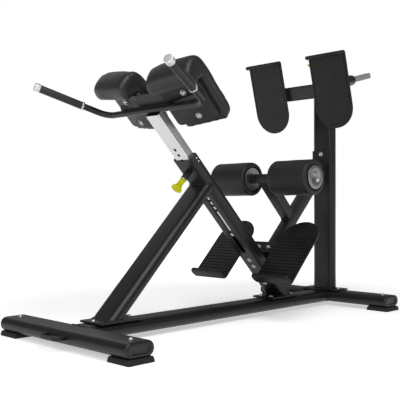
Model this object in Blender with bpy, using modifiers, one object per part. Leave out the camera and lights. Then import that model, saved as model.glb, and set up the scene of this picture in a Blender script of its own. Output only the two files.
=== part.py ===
"""Hyperextension bench: welded frame, sliding hip-pad post, sliding foot carriage, foam rollers.

Frame of the part: +X runs from the front cross tube with the grab handle to the upright,
+Y is the user's left, +Z is up. The machine is symmetric about y = 0. The stations below are
measured from the middle of the front cross tube, and one empty shifts the whole machine so
that its origin lies on the floor under the middle of its length.
"""
import math

import bmesh
import bpy
from mathutils import Matrix, Vector

# Driving dimensions, in metres
CLEARANCE = 0.0003            # gap between pieces that touch
TUBE_WIDE = 0.100             # main oval-cornered tube, across the machine
TUBE_DEEP = 0.050
TUBE_CORNER = 0.014
TUBE_WALL = 0.003
PLATE = 0.008                 # base plates

FOOT_HEIGHT = 0.018
FOOT_SIDE = 0.1065
BASE_Z = FOOT_HEIGHT + TUBE_DEEP / 2          # centre of the floor tubes
BASE_TOP = FOOT_HEIGHT + TUBE_DEEP
PLATE_TOP = BASE_TOP + PLATE
REAR_X = 1.485                # rear cross tube and upright
CROSS_HALF = 0.345
FOOT_Y = CROSS_HALF - 0.0315
CAP_THICK = 0.015

HANDLE_REACH = 0.083          # grab handle, front edge ahead of the tube's centre
HANDLE_HALF = 0.079

LEG_OFFSET = 0.0793           # front leg, x - z of its centre line
COLUMN_SUM = 1.199            # sleeve and post, x + z of their centre line
COLUMN_MOUTH = 0.090          # heights along the column, from the line z = x
SLOT_TOP, SLOT_BOTTOM, SLOT_WIDE = -0.095, -0.437, 0.021
COLUMN_BOLTS = (SLOT_BOTTOM - 0.045, SLOT_BOTTOM - 0.086, SLOT_BOTTOM - 0.197)
LINER_SCREWS = (COLUMN_MOUTH - 0.024, COLUMN_MOUTH - 0.008)

LEG_FOOT = PLATE_TOP + CLEARANCE + LEG_OFFSET         # x of the leg's and the column's feet
COLUMN_FOOT = COLUMN_SUM - PLATE_TOP - CLEARANCE
LEG_PLATE = (LEG_FOOT - 0.0776, LEG_FOOT + 0.1144)    # ends of their base plates
COLUMN_PLATE = (COLUMN_FOOT - 0.1127, COLUMN_FOOT + 0.0673)
LEG_PLATE_WIDE, COLUMN_PLATE_WIDE = TUBE_WIDE + 0.004, TUBE_WIDE
COLUMN_BOLT_Y = 0.028
SPINE_BOLTS = ((LEG_PLATE[0] + 0.017, 0.0), (LEG_PLATE[1] - 0.020, 0.0),
               (COLUMN_PLATE[0] + 0.025, -COLUMN_BOLT_Y), (COLUMN_PLATE[0] + 0.025, COLUMN_BOLT_Y),
               (COLUMN_PLATE[1] - 0.018, -COLUMN_BOLT_Y), (COLUMN_PLATE[1] - 0.018, COLUMN_BOLT_Y))

POST_WIDE, POST_DEEP, POST_CORNER = 0.070, 0.040, 0.005
POST_BOTTOM = -0.340
PIN_HEIGHT = 0.035            # lower pull-pin
HOLE_PITCH, HOLE_RADIUS = 0.030, 0.005
HOLES_ABOVE, HOLES_BELOW = 4, 7
STOP_HEIGHT = PIN_HEIGHT - 12 * HOLE_PITCH

BAR_RADIUS = 0.0125           # handlebar
BAR_DEPTH, BAR_HEIGHT = 0.0017, 0.3281
BAR_BEND_Y, BAR_BEND = 0.2716, 0.060
BAR_END = (-0.1216, 0.3750, BAR_HEIGHT + 0.2619)
POST_TOP = BAR_HEIGHT - BAR_RADIUS - CLEARANCE
RING_FROM_END, RING_LONG, GRIP_RADIUS, CAP_LENGTH = 0.1984, 0.008, 0.0150, 0.022
RING_RADIUS = 0.0165          # of the bright rings and end caps

STRAP = 0.005                 # head bracket
STRAP_LOW = POST_TOP + 0.0227
STRAP_HIGH = STRAP_LOW + 0.053
STRAP_REACH, WEB_HALF = 0.225, 0.070

PAD_Y = 0.161                 # middle of each pad and of its board bolts
PAD_ROLL = math.radians(9.5)
PAD_INNER, PAD_OUTER = 0.055, 0.266
PAD_FRONT, PAD_ROLL_BACK = 0.086, 0.053       # from the board's back, ahead and behind
BOARD_THICK = 0.016
BOARD_BACK = 0.0389           # from the column's centre plane, at PAD_Y
BOARD_INNER, BOARD_OUTER = 0.084, 0.240
BOARD_HIGH = STRAP_HIGH + 0.001
BOARD_LOW = BOARD_HIGH - 0.187
BOLT_LOW, BOLT_HIGH = BOARD_LOW + 0.045, BOARD_HIGH - 0.033

UPRIGHT_SEAM = 0.107
BRACE_OFFSET = 0.799          # x - z of the brace's centre line
BRACE_SIDE, BRACE_CORNER = 0.050, 0.005
BRACE_PLATE_X = REAR_X - TUBE_DEEP / 2 - PLATE        # front face of its bracket
BRACE_END = BRACE_PLATE_X - CLEARANCE - BRACE_OFFSET  # height where it meets the bracket
BRACKET_TALL, BRACKET_UP = 0.154, 0.0093
BRACKET_BOLTS = (BRACE_END - 0.0527, BRACE_END + 0.0693)
REAR_BOLTS = ((REAR_X, -0.075), (REAR_X, 0.075))
AXLE_X, AXLE_Z, AXLE_SIDE = 1.0265, 0.592, 0.040
ARM_SUM = AXLE_X + AXLE_Z     # x + z of the roller arm's centre line
ROLLER_RADIUS, ROLLER_IN, ROLLER_OUT = 0.075, 0.066, 0.266
CORE_RADIUS, DISC_RADIUS, STUB_RADIUS = 0.030, 0.050, 0.0180

STEP_INNER, STEP_OUTER = 0.079, 0.273         # footplates, across the machine
STEP_THICK, STEP_LIP, STEP_LIP_THICK = 0.008, 0.035, 0.016
STEP_LENGTH = 0.339
RIB_PITCH, RIB_WIDE, RIB_DEEP, RIB_BORDER = 0.0170, 0.0060, 0.0012, 0.012
SPACER, SPACER_Y, SPACER_WIDE = 0.0160, 0.148, 0.128
CROSSBAR_TALL, CROSSBAR_DEEP, CROSSBAR_HALF = 0.065, 0.028, 0.215
LOWER_STEP_OFFSET = 0.690     # x - z of the lower plates' faces
LOWER_BAR_ALONG = COLUMN_SUM / math.sqrt(2) + TUBE_DEEP / 2 + 0.0547   # along the brace
LOWER_STEP_START = LOWER_BAR_ALONG - 0.2075                            # the plates' lips
FLANGE_WIDE, FLANGE_BOLT_Y = 0.086, 0.026

SLIDE_TILT = math.radians(15.0)
SLIDE_X, SLIDE_Z = 1.300, 0.999               # a point on the slide rod's axis
ROD_RADIUS, ROD_END = 0.0125, 0.6305
GUIDE_RADIUS, GUIDE_START, GUIDE_END = 0.025, 0.046, 0.479
UPPER_STEP_FACE = -0.0222
UPPER_STEP_TOP = 0.164
UPPER_PIN_ALONG, BOSS = 0.091, 0.012
CARRIAGE_STEPS = 8            # positions of the foot carriage, HOLE_PITCH apart

for old in list(bpy.data.objects):
    bpy.data.objects.remove(old, do_unlink=True)

bench = bpy.data.collections.new("hyperextension_bench")
cutters = bpy.data.collections.new("cutters")
bpy.context.scene.collection.children.link(bench)
bpy.context.scene.collection.children.link(cutters)


def material(name, colour, roughness, metallic=0.0):
    """A Principled material."""
    made = bpy.data.materials.new(name)
    made.use_nodes = True
    shader = made.node_tree.nodes["Principled BSDF"]
    shader.inputs["Base Color"].default_value = (*colour, 1.0)
    shader.inputs["Roughness"].default_value = roughness
    shader.inputs["Metallic"].default_value = metallic
    return made


COATING = material("black_powder_coat", (0.030, 0.030, 0.032), 0.45)
CHROME = material("chrome", (0.72, 0.73, 0.74), 0.12, 1.0)
ZINC = material("zinc_bolts", (0.62, 0.63, 0.64), 0.30, 1.0)
VINYL = material("black_vinyl", (0.025, 0.025, 0.027), 0.50)
FOAM = material("black_foam", (0.028, 0.028, 0.030), 0.80)
RUBBER = material("black_rubber", (0.020, 0.020, 0.021), 0.75)
PLASTIC = material("black_plastic", (0.024, 0.024, 0.026), 0.55)
BOARD = material("black_board", (0.030, 0.030, 0.031), 0.60)
NYLON = material("natural_nylon", (0.55, 0.53, 0.40), 0.50)
LIME = material("lime_plastic", (0.55, 0.62, 0.02), 0.35)


def empty(name, location=(0, 0, 0), tilt=0.0, parent=None):
    """An axis empty, turned about +Y by tilt."""
    made = bpy.data.objects.new(name, None)
    made.empty_display_size = 0.05
    made.location = location
    made.rotation_euler = (0.0, tilt, 0.0)
    made.parent = parent
    bench.objects.link(made)
    return made


def aim(direction, side=(0, 1, 0)):
    """Rotation whose Z runs along direction and whose Y lies toward side."""
    along = Vector(direction).normalized()
    across = Vector(side)
    across = (across - along * across.dot(along)).normalized()
    return Matrix((across.cross(along), across, along)).transposed().to_euler()


def place(name, mesh, finish, parent, location=(0, 0, 0), rotation=(0, 0, 0), smooth=35):
    """Put a mesh in the bench's collection under its parent."""
    mesh.name = name
    made = bpy.data.objects.new(name, mesh)
    made.location = location
    made.rotation_euler = rotation
    made.parent = parent
    bench.objects.link(made)
    if finish is not None:
        mesh.materials.clear()
        mesh.materials.append(finish)
    if smooth:
        mesh.shade_smooth()
        mesh.set_sharp_from_angle(angle=math.radians(smooth))
    return made


def evaluated(source):
    """Mesh of an object with its modifiers, its own local frame kept."""
    bpy.context.view_layer.update()
    graph = bpy.context.evaluated_depsgraph_get()
    return bpy.data.meshes.new_from_object(source.evaluated_get(graph))


def temporary(data):
    made = bpy.data.objects.new("temporary", data)
    cutters.objects.link(made)
    return made


def rounded_rectangle(wide, tall, radius, steps=3):
    """Points round a rectangle with arcs at its corners."""
    points = []
    for quarter, (sx, sy) in enumerate(((1, 1), (-1, 1), (-1, -1), (1, -1))):
        cx, cy = sx * (wide / 2 - radius), sy * (tall / 2 - radius)
        for step in range(steps + 1):
            angle = (quarter + step / steps) * math.pi / 2
            points.append((cx + radius * math.cos(angle), cy + radius * math.sin(angle)))
    return points


def extruded(loops, low, high):
    """Flat outline, with any further loops as openings, extruded from low to high along Z."""
    curve = bpy.data.curves.new("outline", "CURVE")
    curve.dimensions = "2D"
    curve.fill_mode = "BOTH"
    curve.extrude = (high - low) / 2
    for loop in loops:
        spline = curve.splines.new("POLY")
        spline.points.add(len(loop) - 1)
        for point, (x, y) in zip(spline.points, loop):
            point.co = (x, y, 0, 1)
        spline.use_cyclic_u = True
    source = temporary(curve)
    mesh = evaluated(source)
    bpy.data.objects.remove(source)
    bpy.data.curves.remove(curve)
    shell = bmesh.new()
    shell.from_mesh(mesh)
    bmesh.ops.remove_doubles(shell, verts=shell.verts, dist=1e-6)
    bmesh.ops.translate(shell, verts=shell.verts, vec=(0, 0, (low + high) / 2))
    bmesh.ops.recalc_face_normals(shell, faces=shell.faces)
    shell.to_mesh(mesh)
    shell.free()
    return mesh


def turned(profile, steps=32):
    """Profile of (radius, height) points, top to bottom, turned about Z and closed."""
    mesh = bpy.data.meshes.new("profile")
    points = [(radius, 0, height) for radius, height in profile]
    ring = profile[0][0] > 0
    edges = [(i, i + 1) for i in range(len(points) - 1)]
    if ring:
        edges.append((len(points) - 1, 0))
    mesh.from_pydata(points, edges, [])
    source = temporary(mesh)
    screw = source.modifiers.new("turn", "SCREW")
    screw.steps = screw.render_steps = steps
    screw.use_merge_vertices = True
    screw.merge_threshold = 0.00002
    result = evaluated(source)
    bpy.data.objects.remove(source)
    shell = bmesh.new()
    shell.from_mesh(result)
    bmesh.ops.remove_doubles(shell, verts=shell.verts, dist=0.00002)
    bmesh.ops.recalc_face_normals(shell, faces=shell.faces)
    shell.to_mesh(result)
    shell.free()
    return result


def swept(path, radius, round_points=12):
    """Round bar along a path of points."""
    curve = bpy.data.curves.new("path", "CURVE")
    curve.dimensions = "3D"
    curve.bevel_depth = radius
    curve.bevel_resolution = round_points // 4
    curve.use_fill_caps = True
    spline = curve.splines.new("POLY")
    spline.points.add(len(path) - 1)
    for point, place_at in zip(spline.points, path):
        point.co = (*place_at, 1)
    source = temporary(curve)
    mesh = evaluated(source)
    bpy.data.objects.remove(source)
    bpy.data.curves.remove(curve)
    shell = bmesh.new()
    shell.from_mesh(mesh)
    bmesh.ops.remove_doubles(shell, verts=shell.verts, dist=1e-6)
    bmesh.ops.recalc_face_normals(shell, faces=shell.faces)
    shell.to_mesh(mesh)
    shell.free()
    return mesh


def fillet_path(points, radius, steps=6):
    """Polyline whose inner corners become arcs."""
    path = [Vector(points[0])]
    for before, corner, after in zip(points, points[1:], points[2:]):
        corner = Vector(corner)
        back = (Vector(before) - corner).normalized()
        ahead = (Vector(after) - corner).normalized()
        half = back.angle(ahead) / 2
        reach = radius / math.tan(half)
        centre = corner + (back + ahead).normalized() * (radius / math.sin(half))
        start, end = corner + back * reach - centre, corner + ahead * reach - centre
        sweep = start.angle(end)
        for step in range(steps + 1):
            share = step / steps
            path.append(centre + (start * math.sin((1 - share) * sweep)
                                  + end * math.sin(share * sweep)) / math.sin(sweep))
    path.append(Vector(points[-1]))
    return path


def merged(pieces):
    """One mesh out of (mesh, matrix) pairs, which stay separate bodies."""
    whole = bmesh.new()
    for mesh, matrix in pieces:
        copy = mesh.copy()
        copy.transform(matrix)
        whole.from_mesh(copy)
        bpy.data.meshes.remove(copy)
    mesh = bpy.data.meshes.new("group")
    whole.to_mesh(mesh)
    whole.free()
    return mesh


def boolean(target, tool, operation="DIFFERENCE"):
    """Leave an exact Boolean on target with a hidden, wire-shown tool."""
    cutters.objects.link(tool)
    bench.objects.unlink(tool)
    tool.name = f"{target.name}_cutter_{len(target.modifiers)}"
    tool.hide_render = True
    tool.display_type = "WIRE"
    cut = target.modifiers.new("cut", "BOOLEAN")
    cut.operation = operation
    cut.solver = "EXACT"
    cut.object = tool


def drill(target, holes, steps=10):
    """Bore holes given as (centre, direction, radius, length) in the target's parent frame."""
    bores = []
    for centre, direction, radius, length in holes:
        rod = bmesh.new()
        bmesh.ops.create_cone(rod, cap_ends=True, segments=steps,
                              radius1=radius, radius2=radius, depth=length)
        mesh = bpy.data.meshes.new("bore")
        rod.to_mesh(mesh)
        rod.free()
        side = (0, 1, 0) if abs(Vector(direction).normalized().y) < 0.9 else (1, 0, 0)
        bores.append((mesh, Matrix.Translation(centre) @ aim(direction, side).to_matrix().to_4x4()))
    boolean(target, place("bores", merged(bores), None, target.parent, smooth=0))


def block_mesh(size, bevel=0.0, segments=2):
    """Box centred on its origin with rounded edges."""
    box = bmesh.new()
    bmesh.ops.create_cube(box, size=1.0)
    bmesh.ops.scale(box, verts=box.verts, vec=size)
    if bevel:
        bmesh.ops.bevel(box, geom=box.edges, offset=bevel, offset_type="OFFSET",
                        segments=segments, profile=0.5, affect="EDGES")
    mesh = bpy.data.meshes.new("block")
    box.to_mesh(mesh)
    box.free()
    return mesh


def block(name, centre, size, finish, parent, bevel=0.0, rotation=(0, 0, 0), segments=2):
    return place(name, block_mesh(size, bevel, segments), finish, parent, centre, rotation)


def tube(name, start, end, wide, deep, corner, finish, parent, wall=TUBE_WALL,
         start_cut=None, end_cut=None, side=(0, 1, 0)):
    """Rectangular tube between two points, its ends cut square or along planes.

    wide is measured toward side, deep at right angles to it. A cut is the normal of the
    plane that the end lies in.
    """
    start, end = Vector(start), Vector(end)
    length = (end - start).length
    loops = [rounded_rectangle(deep, wide, corner)]
    if wall:
        loops.append(rounded_rectangle(deep - 2 * wall, wide - 2 * wall,
                                       max(corner - wall, 0.002))[::-1])
    mesh = extruded(loops, 0.0, length)
    rotation = aim(end - start, side)
    for height, cut in ((0.0, start_cut), (length, end_cut)):
        if cut is None:
            continue
        normal = rotation.to_matrix().inverted() @ Vector(cut)
        for vertex in mesh.vertices:
            if abs(vertex.co.z - height) < 1e-6:
                vertex.co.z -= (normal.x * vertex.co.x + normal.y * vertex.co.y) / normal.z
    return place(name, mesh, finish, parent, start, rotation)


def bolt_mesh(head_radius=0.0085, head=0.0055, shank_radius=0.0048, shank=0.007):
    """Button head on z = 0 with its shank below."""
    return turned([(0, head), (head_radius * 0.62, head * 0.94), (head_radius * 0.92, head * 0.55),
                   (head_radius, 0.0), (shank_radius, 0.0), (shank_radius, -shank),
                   (0, -shank)], steps=12)


def seats_to_bores(seats, radius=0.0051, depth=0.0085):
    """Bores for the shanks of bolts at the same seats."""
    return [(Vector(seat), outward, radius, 2 * depth) for seat, outward in seats]


UP, DOWN = Vector((0, 0, 1)), Vector((0, 0, -1))
RISE = Vector((1, 0, 1)).normalized()         # along the leg and the brace, column's normal
CLIMB = Vector((-1, 0, 1)).normalized()       # up along the column

front_end = -(HANDLE_REACH + 0.004)
rear_end = SLIDE_X + ROD_END * math.cos(SLIDE_TILT) + ROD_RADIUS * math.sin(SLIDE_TILT)
root = empty("machine_origin", (-(front_end + rear_end) / 2, 0, 0))
column = empty("column_frame", RISE * (COLUMN_SUM / math.sqrt(2)), -math.pi / 4, root)
pad_post = empty("pad_post_slide", (0, 0, 0), 0.0, column)
slide = empty("slide_frame", (SLIDE_X, 0, SLIDE_Z), -SLIDE_TILT, root)
carriage = empty("foot_carriage_slide", (0, 0, 0), 0.0, slide)
rollers = empty("roller_axis", (AXLE_X, 0, AXLE_Z), 0.0, root)


def strip_outline(path, thickness):
    """Closed outline of a bar of even thickness that follows an open 2D path."""
    path = [Vector(point) for point in path]
    left, right = [], []
    for i, point in enumerate(path):
        before = (point - path[i - 1]).normalized() if i else None
        after = (path[i + 1] - point).normalized() if i + 1 < len(path) else None
        along = ((before or after) + (after or before)).normalized()
        widen = 1 / max(along.dot(after or before), 0.5)
        normal = Vector((-along.y, along.x)) * (thickness / 2 * widen)
        left.append(tuple(point + normal))
        right.append(tuple(point - normal))
    return left + right[::-1]


def rounded_polygon(points, radii, steps=5):
    """Closed 2D polygon with its own radius at each corner."""
    outline = []
    count = len(points)
    for i, (corner, radius) in enumerate(zip(points, radii)):
        three = [(*points[i - 1], 0), (*corner, 0), (*points[(i + 1) % count], 0)]
        outline += [tuple(point.xy) for point in fillet_path(three, radius, steps)[1:-1]]
    return outline


def round_rim(mesh, height, offset, segments=2):
    """Bevel the rim of an extruded outline at one of its two ends."""
    shell = bmesh.new()
    shell.from_mesh(mesh)
    rim = [edge for edge in shell.edges
           if all(abs(v.co.z - height) < 1e-6 for v in edge.verts)
           and edge.is_manifold and edge.calc_face_angle() > 1.0]
    bmesh.ops.bevel(shell, geom=rim, offset=offset, offset_type="OFFSET", segments=segments,
                    profile=0.5, affect="EDGES", clamp_overlap=True)
    shell.to_mesh(mesh)
    shell.free()
    return mesh


def baked(made):
    """Mesh of a finished object; the object and its cutters are removed."""
    mesh = evaluated(made)
    for modifier in made.modifiers:
        bpy.data.objects.remove(modifier.object)
    bpy.data.objects.remove(made)
    return mesh


def floor_frame():
    """Two cross tubes with plugs and feet, the spine between them and the grab handle."""
    foot_seats = [(x, side * FOOT_Y, BASE_TOP) for x in (0.0, REAR_X) for side in (-1, 1)]
    for name, x in (("front_cross_tube", 0.0), ("rear_cross_tube", REAR_X)):
        cross = tube(name, (x, -CROSS_HALF, BASE_Z), (x, CROSS_HALF, BASE_Z), TUBE_WIDE,
                     TUBE_DEEP, TUBE_CORNER, COATING, root, side=(1, 0, 0))
        drill(cross, seats_to_bores([(seat, UP) for seat in foot_seats if seat[0] == x]))

    tube("spine_tube", (TUBE_WIDE / 2 + CLEARANCE, 0, BASE_Z),
         (REAR_X - TUBE_WIDE / 2 - CLEARANCE, 0, BASE_Z), TUBE_WIDE, TUBE_DEEP,
         TUBE_CORNER, COATING, root)
    spine = bpy.data.objects["spine_tube"]
    drill(spine, seats_to_bores([((x, y, BASE_TOP), UP) for x, y in SPINE_BOLTS]))

    # The plug's head covers the tube's end and is dished; its spigot fills the bore.
    cap = place("cap", round_rim(extruded([rounded_rectangle(TUBE_WIDE, TUBE_DEEP, TUBE_CORNER)],
                                          0.0, CAP_THICK), CAP_THICK, 0.007, 2), PLASTIC, root)
    spigot = rounded_rectangle(TUBE_WIDE - 2 * TUBE_WALL - 2 * CLEARANCE,
                               TUBE_DEEP - 2 * TUBE_WALL - 2 * CLEARANCE,
                               TUBE_CORNER - TUBE_WALL)
    boolean(cap, place("spigot", extruded([spigot], -0.020, 0.004), None, root, smooth=0),
            "UNION")
    dish = rounded_rectangle(0.073, 0.026, 0.0129, 5)
    boolean(cap, place("dish", extruded([dish], CAP_THICK - 0.002, CAP_THICK + 0.002), None,
                       root, smooth=0))
    cap_mesh = baked(cap)
    foot_mesh = block_mesh((FOOT_SIDE, FOOT_SIDE, FOOT_HEIGHT - CLEARANCE))
    shape = bmesh.new()
    shape.from_mesh(foot_mesh)
    for vertex in shape.verts:
        if vertex.co.z > 0:
            vertex.co.xy *= 1 - 0.007 / FOOT_SIDE
    bmesh.ops.bevel(shape, geom=[e for e in shape.edges if abs(e.verts[0].co.z - e.verts[1].co.z)
                                 > 0.01], offset=0.006, segments=2, profile=0.5, affect="EDGES")
    shape.to_mesh(foot_mesh)
    shape.free()
    for end, x in (("front", 0.0), ("rear", REAR_X)):
        for hand, side in (("left", 1), ("right", -1)):
            place(f"{end}_{hand}_end_plug", cap_mesh, PLASTIC, root,
                  (x, side * (CROSS_HALF + CLEARANCE), BASE_Z), aim((0, side, 0), (0, 0, -1)))
            place(f"{end}_{hand}_foot", foot_mesh, RUBBER, root,
                  (x, side * FOOT_Y, (FOOT_HEIGHT - CLEARANCE) / 2), smooth=0)

    reach = HANDLE_REACH
    middle = 0.004
    path = fillet_path([(-TUBE_WIDE / 2 - CLEARANCE, HANDLE_HALF - middle, 0),
                        (-reach, HANDLE_HALF - middle, 0), (-reach, middle - HANDLE_HALF, 0),
                        (-TUBE_WIDE / 2 - CLEARANCE, middle - HANDLE_HALF, 0)], 0.020, 5)
    place("grab_handle", extruded([strip_outline([p.xy for p in path], 2 * middle)],
                                  0.0315, 0.0455), COATING, root)


def leg_and_column():
    """The sloping front leg and the slotted sleeve it props, each on a bolted plate."""
    middle = (BASE_TOP + PLATE_TOP) / 2
    thick = PLATE - 2 * CLEARANCE
    depth = 0.011
    for name, (low, high), wide in (("leg_base_plate", LEG_PLATE, LEG_PLATE_WIDE),
                                    ("column_base_plate", COLUMN_PLATE, COLUMN_PLATE_WIDE)):
        plate = block(name, ((low + high) / 2, 0, middle), (high - low, wide, thick), COATING,
                      root, 0.0015, segments=1)
        seats = [((x, y, PLATE_TOP), UP) for x, y in SPINE_BOLTS if low < x < high]
        drill(plate, seats_to_bores(seats, depth=depth))

    foot_z = PLATE_TOP + CLEARANCE
    face = COLUMN_SUM - TUBE_DEEP / math.sqrt(2) - 2 * CLEARANCE
    tube("front_leg", (foot_z + LEG_OFFSET, 0, foot_z),
         ((face + LEG_OFFSET) / 2, 0, (face - LEG_OFFSET) / 2), TUBE_WIDE, TUBE_DEEP,
         TUBE_CORNER, COATING, root, start_cut=DOWN)

    low = -(COLUMN_SUM - 2 * foot_z) / math.sqrt(2)
    sleeve = tube("column_sleeve", (0, 0, low), (0, 0, COLUMN_MOUTH), TUBE_WIDE, TUBE_DEEP,
                  TUBE_CORNER, COATING, column, start_cut=(1, 0, 1))
    radius = SLOT_WIDE / 2
    reach = (SLOT_TOP - SLOT_BOTTOM) / 2 - radius
    stadium = [(side * reach + radius * math.cos(a), radius * math.sin(a))
               for side in (1, -1) for a in
               [(-0.5 + (side < 0) + step / 6) * math.pi for step in range(7)]]
    boolean(sleeve, place("slot", extruded([stadium], 0.018, 0.032), None, column,
                          (0, 0, (SLOT_TOP + SLOT_BOTTOM) / 2), aim((-1, 0, 0)), smooth=0))
    front_seats = [((-TUBE_DEEP / 2, 0, q), (-1, 0, 0)) for q in COLUMN_BOLTS]
    liner_seats = [((0.002, -TUBE_WIDE / 2, q), (0, -1, 0)) for q in LINER_SCREWS]
    drill(sleeve, seats_to_bores(front_seats)
          + seats_to_bores(liner_seats, 0.0029, 0.012)
          + [((-TUBE_DEEP / 2, 0, PIN_HEIGHT), (1, 0, 0), 0.0066, 0.012)])

    # Nylon liner that guides the post, flanged over the sleeve's mouth
    bore = rounded_rectangle(POST_DEEP + 0.0006, POST_WIDE + 0.0006, POST_CORNER)[::-1]
    inside = rounded_rectangle(TUBE_DEEP - 2 * TUBE_WALL - 2 * CLEARANCE,
                               TUBE_WIDE - 2 * TUBE_WALL - 2 * CLEARANCE,
                               TUBE_CORNER - TUBE_WALL)
    liner = place("column_liner", extruded([inside, bore], -0.020, COLUMN_MOUTH + 0.002),
                  NYLON, column)
    flange = rounded_rectangle(TUBE_DEEP - 0.002, TUBE_WIDE - 0.002, TUBE_CORNER - 0.001)
    boolean(liner, place("flange", extruded([flange, bore], COLUMN_MOUTH + CLEARANCE,
                                            COLUMN_MOUTH + 0.0035), None, column, smooth=0),
            "UNION")
    drill(liner, seats_to_bores(liner_seats, 0.0029, 0.012)
          + [((-TUBE_DEEP / 2, 0, PIN_HEIGHT), (1, 0, 0), 0.0066, 0.012)])


def upright_and_brace():
    """Rear upright on its socket, the brace to the column and the arm of the roller axle."""
    middle = (BASE_TOP + PLATE_TOP) / 2
    base = block("upright_socket", (REAR_X, 0, middle),
                 (TUBE_WIDE - 0.004, 0.200, PLATE - 2 * CLEARANCE), COATING, root, 0.0015,
                 segments=1)
    wall_ring = [rounded_rectangle(TUBE_DEEP, TUBE_WIDE, TUBE_CORNER),
                 rounded_rectangle(TUBE_DEEP - 2 * TUBE_WALL, TUBE_WIDE - 2 * TUBE_WALL,
                                   TUBE_CORNER - TUBE_WALL)[::-1]]
    spigot_deep = TUBE_DEEP - 2 * TUBE_WALL - 2 * CLEARANCE
    spigot_wide = TUBE_WIDE - 2 * TUBE_WALL - 2 * CLEARANCE
    spigot = [rounded_rectangle(spigot_deep, spigot_wide, TUBE_CORNER - TUBE_WALL),
              rounded_rectangle(spigot_deep - 0.006, spigot_wide - 0.006, 0.008)[::-1]]
    boolean(base, place("stub", extruded(wall_ring, PLATE_TOP - 0.002, UPRIGHT_SEAM), None,
                        root, (REAR_X, 0, 0), smooth=0), "UNION")
    boolean(base, place("spigot", extruded(spigot, PLATE_TOP - 0.003, 0.180), None, root,
                        (REAR_X, 0, 0), smooth=0), "UNION")
    rear_seats = [((x, y, PLATE_TOP - CLEARANCE), UP) for x, y in REAR_BOLTS]
    drill(base, seats_to_bores(rear_seats, depth=0.011))
    rear = bpy.data.objects["rear_cross_tube"]
    drill(rear, seats_to_bores([((x, y, BASE_TOP), UP) for x, y in REAR_BOLTS]))

    axis_z = SLIDE_Z + (REAR_X - SLIDE_X) * math.tan(SLIDE_TILT)
    top = axis_z - 0.012 / math.cos(SLIDE_TILT)
    upright = tube("upright_post", (REAR_X, 0, UPRIGHT_SEAM + CLEARANCE), (REAR_X, 0, top),
                   TUBE_WIDE, TUBE_DEEP, TUBE_CORNER, COATING, root,
                   end_cut=(-math.sin(SLIDE_TILT), 0, math.cos(SLIDE_TILT)))
    drill(upright, [((REAR_X, 0, axis_z), (math.cos(SLIDE_TILT), 0, math.sin(SLIDE_TILT)),
                     GUIDE_RADIUS + CLEARANCE, 0.2)], steps=24)

    back = COLUMN_SUM + TUBE_DEEP / math.sqrt(2) + 2 * CLEARANCE
    tube("brace", ((back + BRACE_OFFSET) / 2, 0, (back - BRACE_OFFSET) / 2),
         (BRACE_PLATE_X - CLEARANCE, 0, BRACE_END), BRACE_SIDE, BRACE_SIDE,
         BRACE_CORNER, COATING, root, end_cut=(1, 0, 0))
    bracket = block("brace_bracket", (BRACE_PLATE_X + PLATE / 2, 0, BRACE_END + BRACKET_UP),
                    (PLATE - 2 * CLEARANCE, TUBE_WIDE, BRACKET_TALL), COATING, root, 0.0015,
                    segments=1)
    seats = [((BRACE_PLATE_X + CLEARANCE, 0, z), (-1, 0, 0)) for z in BRACKET_BOLTS]
    drill(bracket, seats_to_bores(seats, depth=0.011))
    drill(upright, seats_to_bores([((REAR_X - TUBE_DEEP / 2, 0, z), (-1, 0, 0))
                                   for z in BRACKET_BOLTS]))

    top_face = BRACE_OFFSET - BRACE_SIDE / math.sqrt(2) - 2 * CLEARANCE
    arm_z = AXLE_Z - AXLE_SIDE / 2 - CLEARANCE
    tube("roller_arm", ((ARM_SUM + top_face) / 2, 0, (ARM_SUM - top_face) / 2),
         (ARM_SUM - arm_z, 0, arm_z), BRACE_SIDE, BRACE_SIDE, BRACE_CORNER, COATING, root,
         end_cut=UP)


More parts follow.
